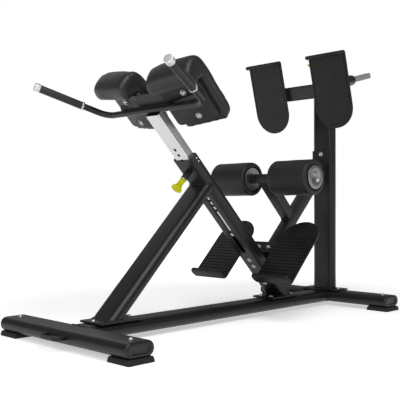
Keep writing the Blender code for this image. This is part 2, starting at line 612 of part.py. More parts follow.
def roller_pair():
    """Square axle with turned stubs, and on each stub a spool, its foam and its dished cap."""
    axle = block("roller_axle", (0, 0, 0), (AXLE_SIDE, 2 * ROLLER_IN, AXLE_SIDE), COATING,
                 rollers, 0.003)
    stub = turned([(0, 0.2515), (STUB_RADIUS - 0.002, 0.2515), (STUB_RADIUS, 0.2495),
                   (STUB_RADIUS, -0.2495), (STUB_RADIUS - 0.002, -0.2515), (0, -0.2515)], 24)
    boolean(axle, place("stub", stub, None, rollers, rotation=aim((0, 1, 0), (1, 0, 0)),
                        smooth=0), "UNION")
    floor_in, floor_out = ROLLER_IN + 0.0072, ROLLER_OUT - 0.0075
    bore = STUB_RADIUS + 0.0005
    spool = turned([(CORE_RADIUS, floor_out), (CORE_RADIUS, floor_in - CLEARANCE),
                    (DISC_RADIUS, floor_in - CLEARANCE), (DISC_RADIUS, ROLLER_IN + 0.0030),
                    (DISC_RADIUS - 0.002, ROLLER_IN + 0.0012), (bore, ROLLER_IN + 0.0012),
                    (bore, floor_out)], 20)
    seat = floor_out + CLEARANCE
    dish = turned([(0, 0.2645), (0.016, 0.2650), (0.027, 0.2690), (0.036, 0.2722),
                   (0.046, 0.2716), (DISC_RADIUS, 0.2690), (DISC_RADIUS, seat),
                   (STUB_RADIUS, seat), (STUB_RADIUS, 0.2522), (0, 0.2522)], 20)
    fillet = 0.014
    crown = ROLLER_RADIUS - fillet
    rim = DISC_RADIUS + 0.006
    arc = [i * math.pi / 6 for i in range(4)]
    foam = turned([(CORE_RADIUS + CLEARANCE, floor_out), (rim, floor_out), (rim, ROLLER_OUT)]
                  + [(crown + fillet * math.sin(a), ROLLER_OUT - fillet + fillet * math.cos(a))
                     for a in arc]
                  + [(crown + fillet * math.cos(a), ROLLER_IN + fillet - fillet * math.sin(a))
                     for a in arc]
                  + [(rim, ROLLER_IN), (rim, floor_in), (CORE_RADIUS + CLEARANCE, floor_in)], 28)
    for hand, side in (("left", 1), ("right", -1)):
        turn = aim((0, side, 0), (1, 0, 0))
        for part, mesh, finish in (("roller_spool", spool, PLASTIC), ("roller_foam", foam, FOAM),
                                   ("roller_cap", dish, CHROME)):
            place(f"{hand}_{part}", mesh, finish, rollers, rotation=turn)


def footplate_mesh():
    """Ribbed tread with a half-round end and a turned-up lip, face on z = 0, lip at x = 0."""
    half = (STEP_OUTER - STEP_INNER) / 2
    straight = STEP_LENGTH - half
    outline = [(0, half), (0, -half)] + [
        (straight + half * math.sin(a), -half * math.cos(a))
        for a in [i * math.pi / 16 for i in range(17)]]
    plate = place("tread", extruded([outline], -STEP_THICK, 0.0), PLASTIC, root)
    lip = rounded_polygon([(STEP_THICK / 2, -half), (-STEP_LIP, -half), (-STEP_LIP, half),
                           (STEP_THICK / 2, half)], [0.001, 0.015, 0.015, 0.001], 3)
    boolean(plate, place("lip", extruded([lip], 0.0, STEP_LIP_THICK), None, root,
                         rotation=aim((1, 0, 0)), smooth=0), "UNION")
    grooves = []
    x = STEP_LIP_THICK + RIB_PITCH
    while x < STEP_LENGTH - RIB_BORDER:
        beyond = max(0.0, x - straight)
        inner = half - RIB_BORDER
        if inner > beyond:
            reach = math.sqrt(inner ** 2 - beyond ** 2)
            grooves.append((block_mesh((RIB_WIDE, 2 * reach, 2 * RIB_DEEP)),
                            Matrix.Translation((x, 0, 0))))
        x += RIB_PITCH
    boolean(plate, place("grooves", merged(grooves), None, root, smooth=0))
    return baked(plate)


def crossbar(name, parent, spot, rotation):
    """Flat tube across the machine with a pad toward each plate; spot is on its front face."""
    ahead = rotation.to_matrix() @ Vector((0, 0, 1))
    centre = Vector(spot) - ahead * (CROSSBAR_DEEP / 2)
    reach = Vector((0, CROSSBAR_HALF, 0))
    bar = tube(name, centre - reach, centre + reach, CROSSBAR_DEEP, CROSSBAR_TALL, BRACE_CORNER,
               COATING, parent, side=ahead)
    for side in (-1, 1):
        at_pad = Vector(spot) + ahead * (SPACER / 2 - 0.001) + Vector((0, side * SPACER_Y, 0))
        boolean(bar, block("spacer", at_pad, (CROSSBAR_TALL - 0.012, SPACER_WIDE, SPACER + 0.002
                                              - 2 * CLEARANCE), None, parent, 0, rotation),
                "UNION")
    return bar


def lower_footrest():
    """Two ribbed plates on a crossbar bolted to a flange on the brace."""
    turn = aim(CLIMB)
    mesh = footplate_mesh()
    middle = (STEP_INNER + STEP_OUTER) / 2
    start = RISE * LOWER_STEP_START - CLIMB * (LOWER_STEP_OFFSET / math.sqrt(2))
    at_bar = RISE * LOWER_BAR_ALONG - CLIMB * (LOWER_STEP_OFFSET / math.sqrt(2))
    for hand, side in (("left", 1), ("right", -1)):
        place(f"lower_{hand}_footplate", mesh, PLASTIC, root,
              start + Vector((0, side * middle, 0)), turn, smooth=30)
    face = at_bar - CLIMB * (STEP_THICK + SPACER)
    bar = crossbar("lower_crossbar", root, face, turn)
    brace_face = (BRACE_OFFSET - LOWER_STEP_OFFSET) / math.sqrt(2) - BRACE_SIDE / 2
    back = STEP_THICK + SPACER + CROSSBAR_DEEP
    flange = brace_face - back - 2 * CLEARANCE
    boolean(bpy.data.objects["brace"],
            block("flange", at_bar - CLIMB * (back + CLEARANCE + flange / 2 + 0.002),
                  (CROSSBAR_TALL, FLANGE_WIDE, flange + 0.004), None, root, 0, turn), "UNION")
    seats = [(face + Vector((0, y, 0)), CLIMB) for y in (-FLANGE_BOLT_Y, FLANGE_BOLT_Y)]
    drill(bar, seats_to_bores(seats))


def pull_pin(prefix, parent, seat, outward, boss, tip):
    """Barrel, collar, plunger and knob of a pull-pin; the last two draw out along the pin."""
    turn = aim(outward)
    low = boss + CLEARANCE
    shoulder = low + 0.038
    top = shoulder + 0.009
    place(f"{prefix}_pin_barrel", turned([(0.0074, top), (0.0082, top - 0.001),
                                          (0.0082, shoulder), (0.0100, shoulder),
                                          (0.0110, shoulder - 0.0012), (0.0110, low),
                                          (0.0056, low), (0.0056, top)], 16),
          PLASTIC, parent, seat, turn)
    pin = bpy.data.objects.new(f"{prefix}_pin_slide", None)
    pin.location, pin.rotation_euler, pin.parent = seat, turn, parent
    bench.objects.link(pin)
    base = top + 0.003
    place(f"{prefix}_pin_knob", turned([(0, base + 0.0530), (0.0105, base + 0.0520),
                                        (0.0160, base + 0.0480), (0.0178, base + 0.0420),
                                        (0.0165, base + 0.0340), (0.0115, base + 0.0220),
                                        (0.0084, base + 0.0080), (0.0080, base),
                                        (0.0050, base), (0.0050, tip + 0.0008),
                                        (0.0044, tip), (0, tip)], 14), LIME, pin)


def sliding_post():
    """Chrome post with its row of holes, its glide and the stop that rides in the slot."""
    post = tube("pad_post", (0, 0, POST_BOTTOM), (0, 0, POST_TOP), POST_WIDE, POST_DEEP,
                POST_CORNER, CHROME, pad_post)
    holes = [((-POST_DEEP / 2, 0, PIN_HEIGHT + i * HOLE_PITCH), (1, 0, 0), HOLE_RADIUS, 0.012)
             for i in range(-HOLES_BELOW, HOLES_ABOVE + 1)]
    stop = (-(TUBE_DEEP / 2 - TUBE_WALL - 0.0004), 0, STOP_HEIGHT)
    stop_bore = [(Vector(stop), (1, 0, 0), 0.0051, 0.020)]
    drill(post, holes + stop_bore)
    ring = [rounded_rectangle(TUBE_DEEP - 2 * TUBE_WALL - 0.0008,
                              TUBE_WIDE - 2 * TUBE_WALL - 0.0008, TUBE_CORNER - TUBE_WALL),
            rounded_rectangle(POST_DEEP + 0.0006, POST_WIDE + 0.0006, POST_CORNER)[::-1]]
    glide = place("post_glide", extruded(ring, POST_BOTTOM - 0.002, POST_BOTTOM + 0.034),
                  NYLON, pad_post)
    drill(glide, stop_bore)
    place("stop_bolt", bolt_mesh(), ZINC, pad_post, Vector(stop) - Vector((CLEARANCE, 0, 0)),
          aim((-1, 0, 0)))


def board_frame(side):
    hand = "left" if side > 0 else "right"
    made = bpy.data.objects.new(f"{hand}_pad_frame", None)
    made.location = (BOARD_BACK, side * PAD_Y, 0)
    made.rotation_euler = (0, 0, -side * PAD_ROLL)
    made.parent = pad_post
    bench.objects.link(made)
    return made


def pad_cage(side):
    """Coarse cage of one hip pad: a slab over the board, rolled over the board's top end.

    The section is a row of quads in depth x and height z; five stations carry it across the
    pad, and the two outer stations draw in so that the sides are rounded and the face crowned.
    """
    contact = BOARD_THICK + CLEARANCE
    over = BOARD_HIGH + 2 * CLEARANCE
    low, high, front, back = BOARD_LOW, BOARD_HIGH, PAD_FRONT, PAD_ROLL_BACK
    section = {
        "b0": (contact, low - 0.006), "b1": (contact, low + 0.057), "b2": (contact, high - 0.057),
        "b3": (contact, over), "f0": (front - 0.015, low - 0.015), "f1": (front - 0.002, low + 0.045),
        "f2": (front, high - 0.057), "f3": (front - 0.002, high + 0.028),
        "f4": (front - 0.024, high + 0.082), "t1": (contact + 0.002, high + 0.085),
        "r1": (-0.018, over), "s1": (-0.020, high + 0.080),
        "r2": (0.001 - back, over + 0.002), "s2": (-back, high + 0.063)}
    loop = ["b0", "f0", "f1", "f2", "f3", "f4", "t1", "s1", "s2", "r2", "r1", "b3", "b2", "b1"]
    ends = [("b0", "f0", "f1", "b1"), ("b1", "f1", "f2", "b2"), ("b2", "f2", "f3", "b3"),
            ("b3", "f3", "f4", "t1"), ("r1", "b3", "t1", "s1"), ("r2", "r1", "s1", "s2")]
    inner, outer = PAD_INNER - PAD_Y, PAD_OUTER - PAD_Y
    stations = [(inner, 0.93), (inner + 0.022, 1.0), ((inner + outer) / 2, 1.012),
                (outer - 0.022, 1.0), (outer, 0.93)]
    focus = Vector((contact + 0.004, high - 0.057))
    cage = bmesh.new()
    crease = cage.edges.layers.float.new("crease_edge")
    rows = []
    for across, scale in stations:
        row = {}
        for key, point in section.items():
            point = Vector(point)
            if key[0] in "ft s":
                point = focus + (point - focus) * scale
            row[key] = cage.verts.new((point.x, side * across, point.y))
        rows.append(row)
    for near, far in zip(rows, rows[1:]):
        for a, b in zip(loop, loop[1:] + loop[:1]):
            cage.faces.new((near[a], near[b], far[b], far[a]))
    for quad in ends:
        cage.faces.new([rows[0][key] for key in reversed(quad)])
        cage.faces.new([rows[-1][key] for key in quad])
    for near, far in zip(rows, rows[1:]):
        cage.edges.get((near["b3"], far["b3"]))[crease] = 1.0
        cage.edges.get((near["b0"], far["b0"]))[crease] = 0.7
    bmesh.ops.recalc_face_normals(cage, faces=cage.faces)
    mesh = bpy.data.meshes.new("pad_cage")
    cage.to_mesh(mesh)
    cage.free()
    return mesh


def hip_pads():
    """Boards, cushions and the bolts that hold them."""
    for hand, side in (("left", 1), ("right", -1)):
        frame = board_frame(side)
        inner, outer = BOARD_INNER - PAD_Y, BOARD_OUTER - PAD_Y
        corners = [(-BOARD_LOW, inner), (-BOARD_LOW, outer), (-BOARD_HIGH, outer),
                   (-BOARD_HIGH, inner)]
        outline = rounded_polygon([(x, side * y) for x, y in corners],
                                  [0.018, 0.055, 0.008, 0.008])
        if side < 0:
            outline = outline[::-1]
        board = place(f"{hand}_pad_board", extruded([outline], CLEARANCE,
                                                    BOARD_THICK - CLEARANCE),
                      BOARD, frame, rotation=aim((1, 0, 0)))
        drill(board, seats_to_bores([((0, 0, height), (-1, 0, 0))
                                     for height in (BOLT_LOW, BOLT_HIGH)], depth=0.012))
        pad = place(f"{hand}_hip_pad", pad_cage(side), VINYL, frame, smooth=60)
        form = pad.modifiers.new("form", "SUBSURF")
        form.levels = form.render_levels = 2


def head_bracket():
    """Bent strap across the post's top, its ends lying on the backs of the two boards."""
    def back(y):
        return BOARD_BACK + (y - PAD_Y) * math.tan(PAD_ROLL)

    web = BAR_DEPTH + BAR_RADIUS + STRAP / 2 + 2 * CLEARANCE
    offset = (STRAP / 2 + CLEARANCE) / math.cos(PAD_ROLL)
    bend = BOARD_INNER + 0.034
    half = [(web, 0.0), (web, WEB_HALF), (back(bend) - offset, bend),
            (back(STRAP_REACH) - offset, STRAP_REACH)]
    path = [(x, -y) for x, y in half[:0:-1]] + half[1:]
    strap = place("head_bracket", extruded([strip_outline(path, STRAP)], STRAP_LOW, STRAP_HIGH),
                  COATING, pad_post)
    tab_low, tab_high = POST_TOP + CLEARANCE, STRAP_LOW + 0.012
    boolean(strap, block("tab", (web, 0, (tab_low + tab_high) / 2),
                         (STRAP - 0.0002, POST_WIDE - 0.006, tab_high - tab_low), None, pad_post),
            "UNION")
    inner, outer = WEB_HALF - 0.012, STRAP_REACH - 0.008
    for side in (-1, 1):
        wing = [(web + 0.001, inner, STRAP_LOW - 0.008),
                (back(outer) - 0.020, outer, STRAP_LOW - 0.025),
                (back(outer) - offset, outer, STRAP_LOW + 0.007),
                (web + 0.001, inner, STRAP_LOW + 0.0045)]
        corners = [Vector((x, side * y, z)) for x, y, z in wing]
        normal = (corners[1] - corners[0]).cross(corners[3] - corners[0]).normalized()
        normal *= 0.002 * side
        sheet = bmesh.new()
        lower = [sheet.verts.new(c - normal) for c in corners]
        upper = [sheet.verts.new(c + normal) for c in corners]
        sheet.faces.new(lower)
        sheet.faces.new(upper[::-1])
        for i in range(4):
            j = (i + 1) % 4
            sheet.faces.new((lower[j], lower[i], upper[i], upper[j]))
        bmesh.ops.triangulate(sheet, faces=sheet.faces)
        bmesh.ops.recalc_face_normals(sheet, faces=sheet.faces)
        mesh = bpy.data.meshes.new("wing")
        sheet.to_mesh(mesh)
        sheet.free()
        boolean(strap, place("wing", mesh, None, pad_post, smooth=0), "UNION")
    drill(strap, [((back(PAD_Y), side * PAD_Y, BOLT_HIGH),
                   (math.cos(PAD_ROLL), -side * math.sin(PAD_ROLL), 0), 0.0051, 0.024)
                  for side in (-1, 1)])


def handlebar():
    """Bent bar on the post's top, with a ring, a rubber grip and a bright cap on each arm."""
    node = Vector((BAR_DEPTH, BAR_BEND_Y, BAR_HEIGHT))
    end = Vector(BAR_END)
    out = (end - node).normalized()
    tip = end - out * (0.0037 + CLEARANCE)
    mirror = Vector((1, -1, 1))
    path = fillet_path([tip * mirror, node * mirror, node, tip], BAR_BEND, 7)
    place("handlebar", swept(path, BAR_RADIUS, 12), COATING, pad_post)
    bore = BAR_RADIUS + CLEARANCE
    for hand, side in (("left", 1), ("right", -1)):
        flip = Vector((1, side, 1))
        turn = aim(out * flip)
        ring_low = -RING_FROM_END - RING_LONG / 2
        ring_high = ring_low + RING_LONG
        grip_low = ring_high + 0.0005
        grip_high = -CAP_LENGTH - CLEARANCE
        edge, wall = 0.0008, 0.0037
        shapes = (("grip_ring", CHROME, [(RING_RADIUS - edge, ring_high),
                                         (RING_RADIUS, ring_high - 0.001),
                                         (RING_RADIUS, ring_low + 0.001),
                                         (RING_RADIUS - edge, ring_low),
                                         (bore, ring_low), (bore, ring_high)]),
                  ("grip", RUBBER, [(GRIP_RADIUS - 0.001, grip_high),
                                    (GRIP_RADIUS, grip_high - 0.001),
                                    (GRIP_RADIUS, grip_low + 0.001),
                                    (GRIP_RADIUS - 0.001, grip_low), (bore, grip_low),
                                    (bore, grip_high)]),
                  ("grip_cap", CHROME, [(0, 0.0), (RING_RADIUS - 2 * edge, 0.0),
                                        (RING_RADIUS, -2 * edge), (RING_RADIUS, -CAP_LENGTH),
                                        (bore, -CAP_LENGTH), (bore, -wall), (0, -wall)]))
        for part, finish, profile in shapes:
            place(f"{hand}_{part}", turned(profile, 20), finish, pad_post, end * flip, turn)


def foot_carriage():
    """Guide sleeve on the upright; in it the rod that carries the upper footplates."""
    along = aim((1, 0, 0))
    guide = place("slide_guide", turned([(GUIDE_RADIUS - 0.001, GUIDE_END),
                                         (GUIDE_RADIUS, GUIDE_END - 0.001),
                                         (GUIDE_RADIUS, GUIDE_START + 0.001),
                                         (GUIDE_RADIUS - 0.001, GUIDE_START),
                                         (0.0165, GUIDE_START), (0.0165, GUIDE_END)], 24),
                  COATING, slide, rotation=along)
    boolean(guide, place("boss", turned([(0, GUIDE_RADIUS + BOSS),
                                         (0.0125, GUIDE_RADIUS + BOSS), (0.0125, 0.018),
                                         (0, 0.018)], 20), None, slide,
                         (UPPER_PIN_ALONG, 0, 0), smooth=0), "UNION")
    drill(guide, [((UPPER_PIN_ALONG, 0, 0.030), (0, 0, 1), 0.0056, 0.040)])
    bushing = turned([(0.0215, 0.0045), (0.0225, 0.0035), (0.0225, CLEARANCE),
                      (0.0162, CLEARANCE), (0.0162, -0.030), (0.0129, -0.030),
                      (0.0129, 0.0045)], 20)
    for end, spot, out in (("front", GUIDE_START, -1), ("rear", GUIDE_END, 1)):
        place(f"{end}_guide_bushing", bushing, NYLON, slide, (spot, 0, 0), aim((out, 0, 0)))

    turn = aim((-1, 0, 0), (0, -1, 0))
    bar_face = UPPER_STEP_FACE + STEP_THICK + SPACER
    bar_back = bar_face + CROSSBAR_DEEP
    bar = crossbar("upper_crossbar", carriage, (bar_face, 0, 0), turn)
    rod = place("slide_rod", turned([(0, ROD_END), (ROD_RADIUS - 0.001, ROD_END),
                                     (ROD_RADIUS, ROD_END - 0.001), (ROD_RADIUS, bar_face + 0.004),
                                     (0, bar_face + 0.004)], 24), CHROME, carriage,
                rotation=along)
    drill(rod, [((UPPER_PIN_ALONG + i * HOLE_PITCH, 0, ROD_RADIUS), (0, 0, 1), 0.0045, 0.014)
                for i in range(CARRIAGE_STEPS + 1)], steps=8)
    drill(bar, [((bar_back, 0, 0), (1, 0, 0), ROD_RADIUS + CLEARANCE, 0.045)], steps=24)
    mesh = bpy.data.objects["lower_left_footplate"].data
    middle = (STEP_INNER + STEP_OUTER) / 2
    for hand, side in (("left", 1), ("right", -1)):
        place(f"upper_{hand}_footplate", mesh, PLASTIC, carriage,
              (UPPER_STEP_FACE, side * middle, UPPER_STEP_TOP), turn, smooth=30)
    pull_pin("upper", slide, (UPPER_PIN_ALONG, 0, GUIDE_RADIUS), (0, 0, 1), BOSS,
             ROD_RADIUS + 0.0008 - GUIDE_RADIUS)


floor_frame()
leg_and_column()
upright_and_brace()
roller_pair()
lower_footrest()
sliding_post()
head_bracket()
hip_pads()
handlebar()
foot_carriage()
pull_pin("lower", column, (-TUBE_DEEP / 2, 0, PIN_HEIGHT), (-1, 0, 0), 0.0,
         POST_DEEP / 2 + 0.0007 - TUBE_DEEP / 2)
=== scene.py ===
"""Hyperextension bench dressed for its photograph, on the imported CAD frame."""
import math

import bmesh
import bpy
import numpy as np
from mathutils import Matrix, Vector


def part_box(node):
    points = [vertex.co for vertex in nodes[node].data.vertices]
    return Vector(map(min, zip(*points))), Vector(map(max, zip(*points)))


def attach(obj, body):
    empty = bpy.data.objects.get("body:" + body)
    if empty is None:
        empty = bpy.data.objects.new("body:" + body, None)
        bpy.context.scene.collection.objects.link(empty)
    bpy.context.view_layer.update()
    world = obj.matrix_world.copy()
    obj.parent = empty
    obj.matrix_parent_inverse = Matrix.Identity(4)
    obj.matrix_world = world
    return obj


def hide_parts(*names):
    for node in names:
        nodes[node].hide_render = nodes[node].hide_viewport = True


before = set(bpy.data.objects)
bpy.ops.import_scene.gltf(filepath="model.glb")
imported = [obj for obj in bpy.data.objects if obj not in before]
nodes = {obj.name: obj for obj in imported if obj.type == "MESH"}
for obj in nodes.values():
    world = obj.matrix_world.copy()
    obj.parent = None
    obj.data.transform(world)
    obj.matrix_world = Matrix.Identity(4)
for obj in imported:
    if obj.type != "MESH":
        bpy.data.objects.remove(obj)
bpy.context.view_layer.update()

# The studio: a pale floor that runs out of sight under a white sky, a wide soft light
# overhead, a smaller one from the left and a weak one from behind. Camera rays see floor and
# sky white; the bench sees them darker, as behind black flags.


def node(tree, kind, **values):
    """New shader node with these inputs; an underscore stands for the space in a name."""
    made = tree.nodes.new("ShaderNode" + kind)
    for socket, value in values.items():
        made.inputs[socket.replace("_", " ")].default_value = value
    return made


def split_rays(tree, output):
    """Mix on a tree's output: input 1 is for bounced light, input 2 for the camera's rays."""
    mix = node(tree, "MixShader")
    tree.links.new(node(tree, "LightPath").outputs["Is Camera Ray"], mix.inputs[0])
    tree.links.new(mix.outputs[0], tree.nodes[output].inputs[0])
    return mix


WHITE = (1.0, 1.0, 1.0, 1.0)
scene = bpy.context.scene
scene.view_settings.view_transform = "Standard"
world = bpy.data.worlds.new("studio_white")
scene.world = world
world.use_nodes = True
sky = world.node_tree
sky_light = sky.nodes["Background"]
sky_light.inputs["Color"].default_value = WHITE
sky_light.inputs["Strength"].default_value = 0.19
sky_seen = node(sky, "Background", Color=WHITE, Strength=1.0)
sky_mix = split_rays(sky, "World Output")
sky.links.new(sky_light.outputs[0], sky_mix.inputs[1])
sky.links.new(sky_seen.outputs[0], sky_mix.inputs[2])

floor_mesh = bpy.data.meshes.new("studio_floor")
floor_mesh.from_pydata([(-60, -60, 0), (60, -60, 0), (60, 60, 0), (-60, 60, 0)], [],
                       [(0, 1, 2, 3)])
studio_floor = bpy.data.objects.new("studio_floor", floor_mesh)
scene.collection.objects.link(studio_floor)
floor_paint = bpy.data.materials.new("floor_paint")
floor_paint.use_nodes = True
floor_tree = floor_paint.node_tree
floor_mix = split_rays(floor_tree, "Material Output")
# The floor glows more with distance, from half near the bench to plain white far off.
floor_reach = node(floor_tree, "VectorMath")
floor_reach.operation = "LENGTH"
floor_tree.links.new(node(floor_tree, "TexCoord").outputs["Object"], floor_reach.inputs[0])
floor_glow = node(floor_tree, "MapRange", From_Min=0.9, From_Max=2.6, To_Min=0.50, To_Max=1.0)
floor_glow.interpolation_type = "SMOOTHSTEP"
floor_tree.links.new(floor_reach.outputs["Value"], floor_glow.inputs["Value"])
for slot_number, tone in ((1, 0.50), (2, 0.90)):
    paint = node(floor_tree, "BsdfPrincipled", Base_Color=(tone, tone, tone, 1.0), Roughness=0.9,
                 Specular_IOR_Level=0.0, Emission_Color=WHITE)
    floor_tree.links.new(paint.outputs[0], floor_mix.inputs[slot_number])
    floor_tree.links.new(floor_glow.outputs["Result"], paint.inputs["Emission Strength"])
floor_mesh.materials.append(floor_paint)

for light_name, spot, size, power in (("overhead", (-1.5, -1.9, 3.3), 2.6, 75.0),
                                      ("left_shoulder", (-3.6, -1.0, 1.9), 1.6, 24.0),
                                      ("behind", (0.8, 3.2, 2.6), 2.4, 9.0)):
    lamp = bpy.data.lights.new(light_name, "AREA")
    lamp.shape = "SQUARE"
    lamp.size = size
    lamp.energy = power
    lamp_object = bpy.data.objects.new(light_name, lamp)
    lamp_object.location = spot
    lamp_object.rotation_euler = (Vector((0, 0, 0.5)) - Vector(spot)).to_track_quat(
        "-Z", "Y").to_euler()
    scene.collection.objects.link(lamp_object)

camera_data = bpy.data.cameras.new("photo_camera")
camera_data.sensor_width = 36.0
camera_data.lens = 63.55
camera = bpy.data.objects.new("photo_camera", camera_data)
front_x = (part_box("front_cross_tube")[0].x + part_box("front_cross_tube")[1].x) / 2
camera.location = (front_x - 1.3879, -1.9716, 0.480)
camera.rotation_euler = (math.pi / 2 + 0.0059, 0.0, 0.7764 - math.pi / 2)
scene.collection.objects.link(camera)
scene.camera = camera

# The floor tubes: two cross tubes and the spine between them, flat-oval steel tube of 115 by
# 50 mm, welded and sprayed satin black. The spine's ends are coped round the cross tubes.


def at(x, y, z):
    """Point given from the middle of the front cross tube, in the frame's own place."""
    return np.array((x + front_x, y, z), float)


def finish(name, tones, gloss, *reliefs, metallic=0.0, drift=5.0, **sockets):
    """Procedural material: slow noise drifts between two tones and two roughnesses.

    Each relief is (texture, scale per metre, height in metres, strength), added as a bump.
    """
    made = bpy.data.materials.new(name)
    made.use_nodes = True
    tree = made.node_tree
    link = tree.links.new
    shader = tree.nodes["Principled BSDF"]
    for socket, value in {"Metallic": metallic, **sockets}.items():
        shader.inputs[socket.replace("_", " ")].default_value = value
    place = node(tree, "TexCoord").outputs["Object"]
    slow = node(tree, "TexNoise", Scale=drift, Detail=4.0)
    link(place, slow.inputs["Vector"])
    tone = node(tree, "ValToRGB")
    for stop, position, colour in zip(tone.color_ramp.elements, (0.32, 0.68), tones):
        stop.position = position
        stop.color = (*colour, 1.0)
    link(slow.outputs["Fac"], tone.inputs["Fac"])
    link(tone.outputs["Color"], shader.inputs["Base Color"])
    sheen = node(tree, "TexNoise", Scale=drift * 9, Detail=3.0)
    link(place, sheen.inputs["Vector"])
    level = node(tree, "MapRange", From_Min=0.3, From_Max=0.7, To_Min=gloss[0], To_Max=gloss[1])
    link(sheen.outputs["Fac"], level.inputs["Value"])
    link(level.outputs["Result"], shader.inputs["Roughness"])
    normal = None
    for texture, scale, height, strength in reliefs:
        kind, output = ("TexVoronoi", "Distance") if texture == "cells" else ("TexNoise", "Fac")
        grain = node(tree, kind, Scale=scale)
        link(place, grain.inputs["Vector"])
        bump = node(tree, "Bump", Distance=height, Strength=strength)
        link(grain.outputs[output], bump.inputs["Height"])
        if normal is not None:
            link(normal, bump.inputs["Normal"])
        normal = bump.outputs["Normal"]
    link(normal, shader.inputs["Normal"])
    return made


powder_coat = finish("satin_powder_coat", ((0.0075, 0.0075, 0.008), (0.0110, 0.0110, 0.0115)),
                     (0.32, 0.40), ("noise", 140.0, 0.0002, 0.02),
                     Specular_IOR_Level=0.44)


def oblong(wide, deep, corner, steps=8):
    """Outline of a round-cornered rectangle: four quarter arcs, one after the other."""
    turn = np.linspace(0.0, np.pi / 2, steps + 1)
    quarters = []
    for quarter, (sx, sy) in enumerate(((1, 1), (-1, 1), (-1, -1), (1, -1))):
        angle = turn + quarter * np.pi / 2
        quarters.append(np.stack([sx * (wide / 2 - corner) + corner * np.cos(angle),
                                  sy * (deep / 2 - corner) + corner * np.sin(angle)], -1))
    return np.concatenate(quarters)


def axes(origin, along, across=None):
    """4 by 3 array: where a local frame starts, then its X, Y and Z; Z runs along.

    Y is held toward across, which is the model's Y, or its X for a Z that runs along Y.
    """
    along = np.asarray(along, float) / np.linalg.norm(along)
    if across is None:
        across = (0, 1, 0) if abs(along[1]) < 0.9 else (1, 0, 0)
    across = np.asarray(across, float)
    across = across - along * across.dot(along)
    across /= np.linalg.norm(across)
    return np.array([origin, np.cross(across, along), across, along], float)


def placed(points, local):
    """Points carried from a local frame into the model's."""
    return local[0] + np.asarray(points, float) @ local[1:]


def bar(section, local, length, cuts=(None, None), ease=0.0):
    """Rings of a straight bar: one section slid along Z, each end on its own cut plane.

    A ring's height is its distance along the bar minus the slope of the cut times the place
    in the section; the outermost ring shrinks by ease, so that the end has a small round.
    """
    rings = []
    size = np.abs(section).max(0)
    for share, inset, cut in ((0.0, 0.0, cuts[0]), (0.0, ease, cuts[0]),
                              (1.0, -ease, cuts[1]), (1.0, 0.0, cuts[1])):
        flat = section * (1 - ease / size) if ease and inset == 0.0 else section
        height = np.full(len(section), share * length + inset)
        if cut is not None:
            normal = local[1:] @ np.asarray(cut, float)
            height = height - (flat @ normal[:2]) / normal[2]
        rings.append(placed(np.column_stack([flat, height]), local))
    return np.array(rings if ease else [rings[0], rings[3]])


def solid(parts, closed=False):
    """Vertices and faces of one or more ring stacks, quads between rings, caps at the ends."""
    verts, faces, start = [], [], 0
    for rings in parts:
        count, around = rings.shape[:2]
        verts.append(rings.reshape(-1, 3))
        index = start + np.arange(count * around).reshape(count, around)
        if closed:
            index = np.vstack([index, index[:1]])
        a, b = index[:-1], index[1:]
        quads = np.stack([a, np.roll(a, -1, 1), np.roll(b, -1, 1), b], -1).reshape(-1, 4)
        faces += quads.tolist()
        if not closed:
            faces += [index[0][::-1].tolist(), index[-1].tolist()]
        start += count * around
    return np.concatenate(verts), faces


def piece(name, shape, material, body, replaces=(), smooth=40):
    """Put a (vertices, faces) shape in the scene, its faces outward, on its body."""
    mesh = bpy.data.meshes.new(name)
    mesh.from_pydata(shape[0].tolist(), [], shape[1])
    return dressed(name, mesh, material, body, replaces, smooth)


def faced_out(mesh, weld=False):
    """Turn a mesh's faces outward; weld joins the points of its seams first."""
    shell = bmesh.new()
    shell.from_mesh(mesh)
    if weld:
        bmesh.ops.remove_doubles(shell, verts=shell.verts, dist=2e-6)
    bmesh.ops.recalc_face_normals(shell, faces=shell.faces)
    shell.to_mesh(mesh)
    shell.free()


def dressed(name, mesh, material, body, replaces=(), smooth=40):
    """Weld a mesh's seams, turn its faces outward and give it its material and body."""
    faced_out(mesh, weld=True)
    mesh.materials.clear()
    mesh.materials.append(material)
    mesh.shade_smooth()
    mesh.set_sharp_from_angle(angle=math.radians(smooth))
    made = bpy.data.objects.new(name, mesh)
    scene.collection.objects.link(made)
    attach(made, body)
    if replaces:
        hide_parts(*replaces)
    return made


def painted(name, shape, body, replaces=(), smooth=40):
    """A piece under the black powder coat."""
    return piece(name, shape, powder_coat, body, replaces, smooth)


def coat(names, material):
    """Give carried-over CAD nodes their finish."""
    for name in names:
        for held in nodes[name].material_slots:
            held.material = material


REAR = 1.485
TUBE_MID = 0.043
ENDS = (("front", 0.0), ("rear", REAR))
TUBE = oblong(0.115, 0.050, 0.0245, 12)
OVAL = oblong(0.050, 0.115, 0.0245, 12)
for end_name, station in ENDS:
    painted(f"{end_name}_cross_tube_steel",
            solid([bar(TUBE, axes(at(station, -0.345, TUBE_MID), (0, 1, 0), (0, 0, 1)), 0.690)]),
            "frame", [f"{end_name}_cross_tube"])
spine = painted("spine_steel", solid([bar(OVAL, axes(at(0.033, 0, TUBE_MID), (1, 0, 0)), 1.419)]),
                "frame", ["spine_tube"])


def shown(made):
    """New mesh of what an object's modifiers give."""
    return bpy.data.meshes.new_from_object(
        made.evaluated_get(bpy.context.evaluated_depsgraph_get()))


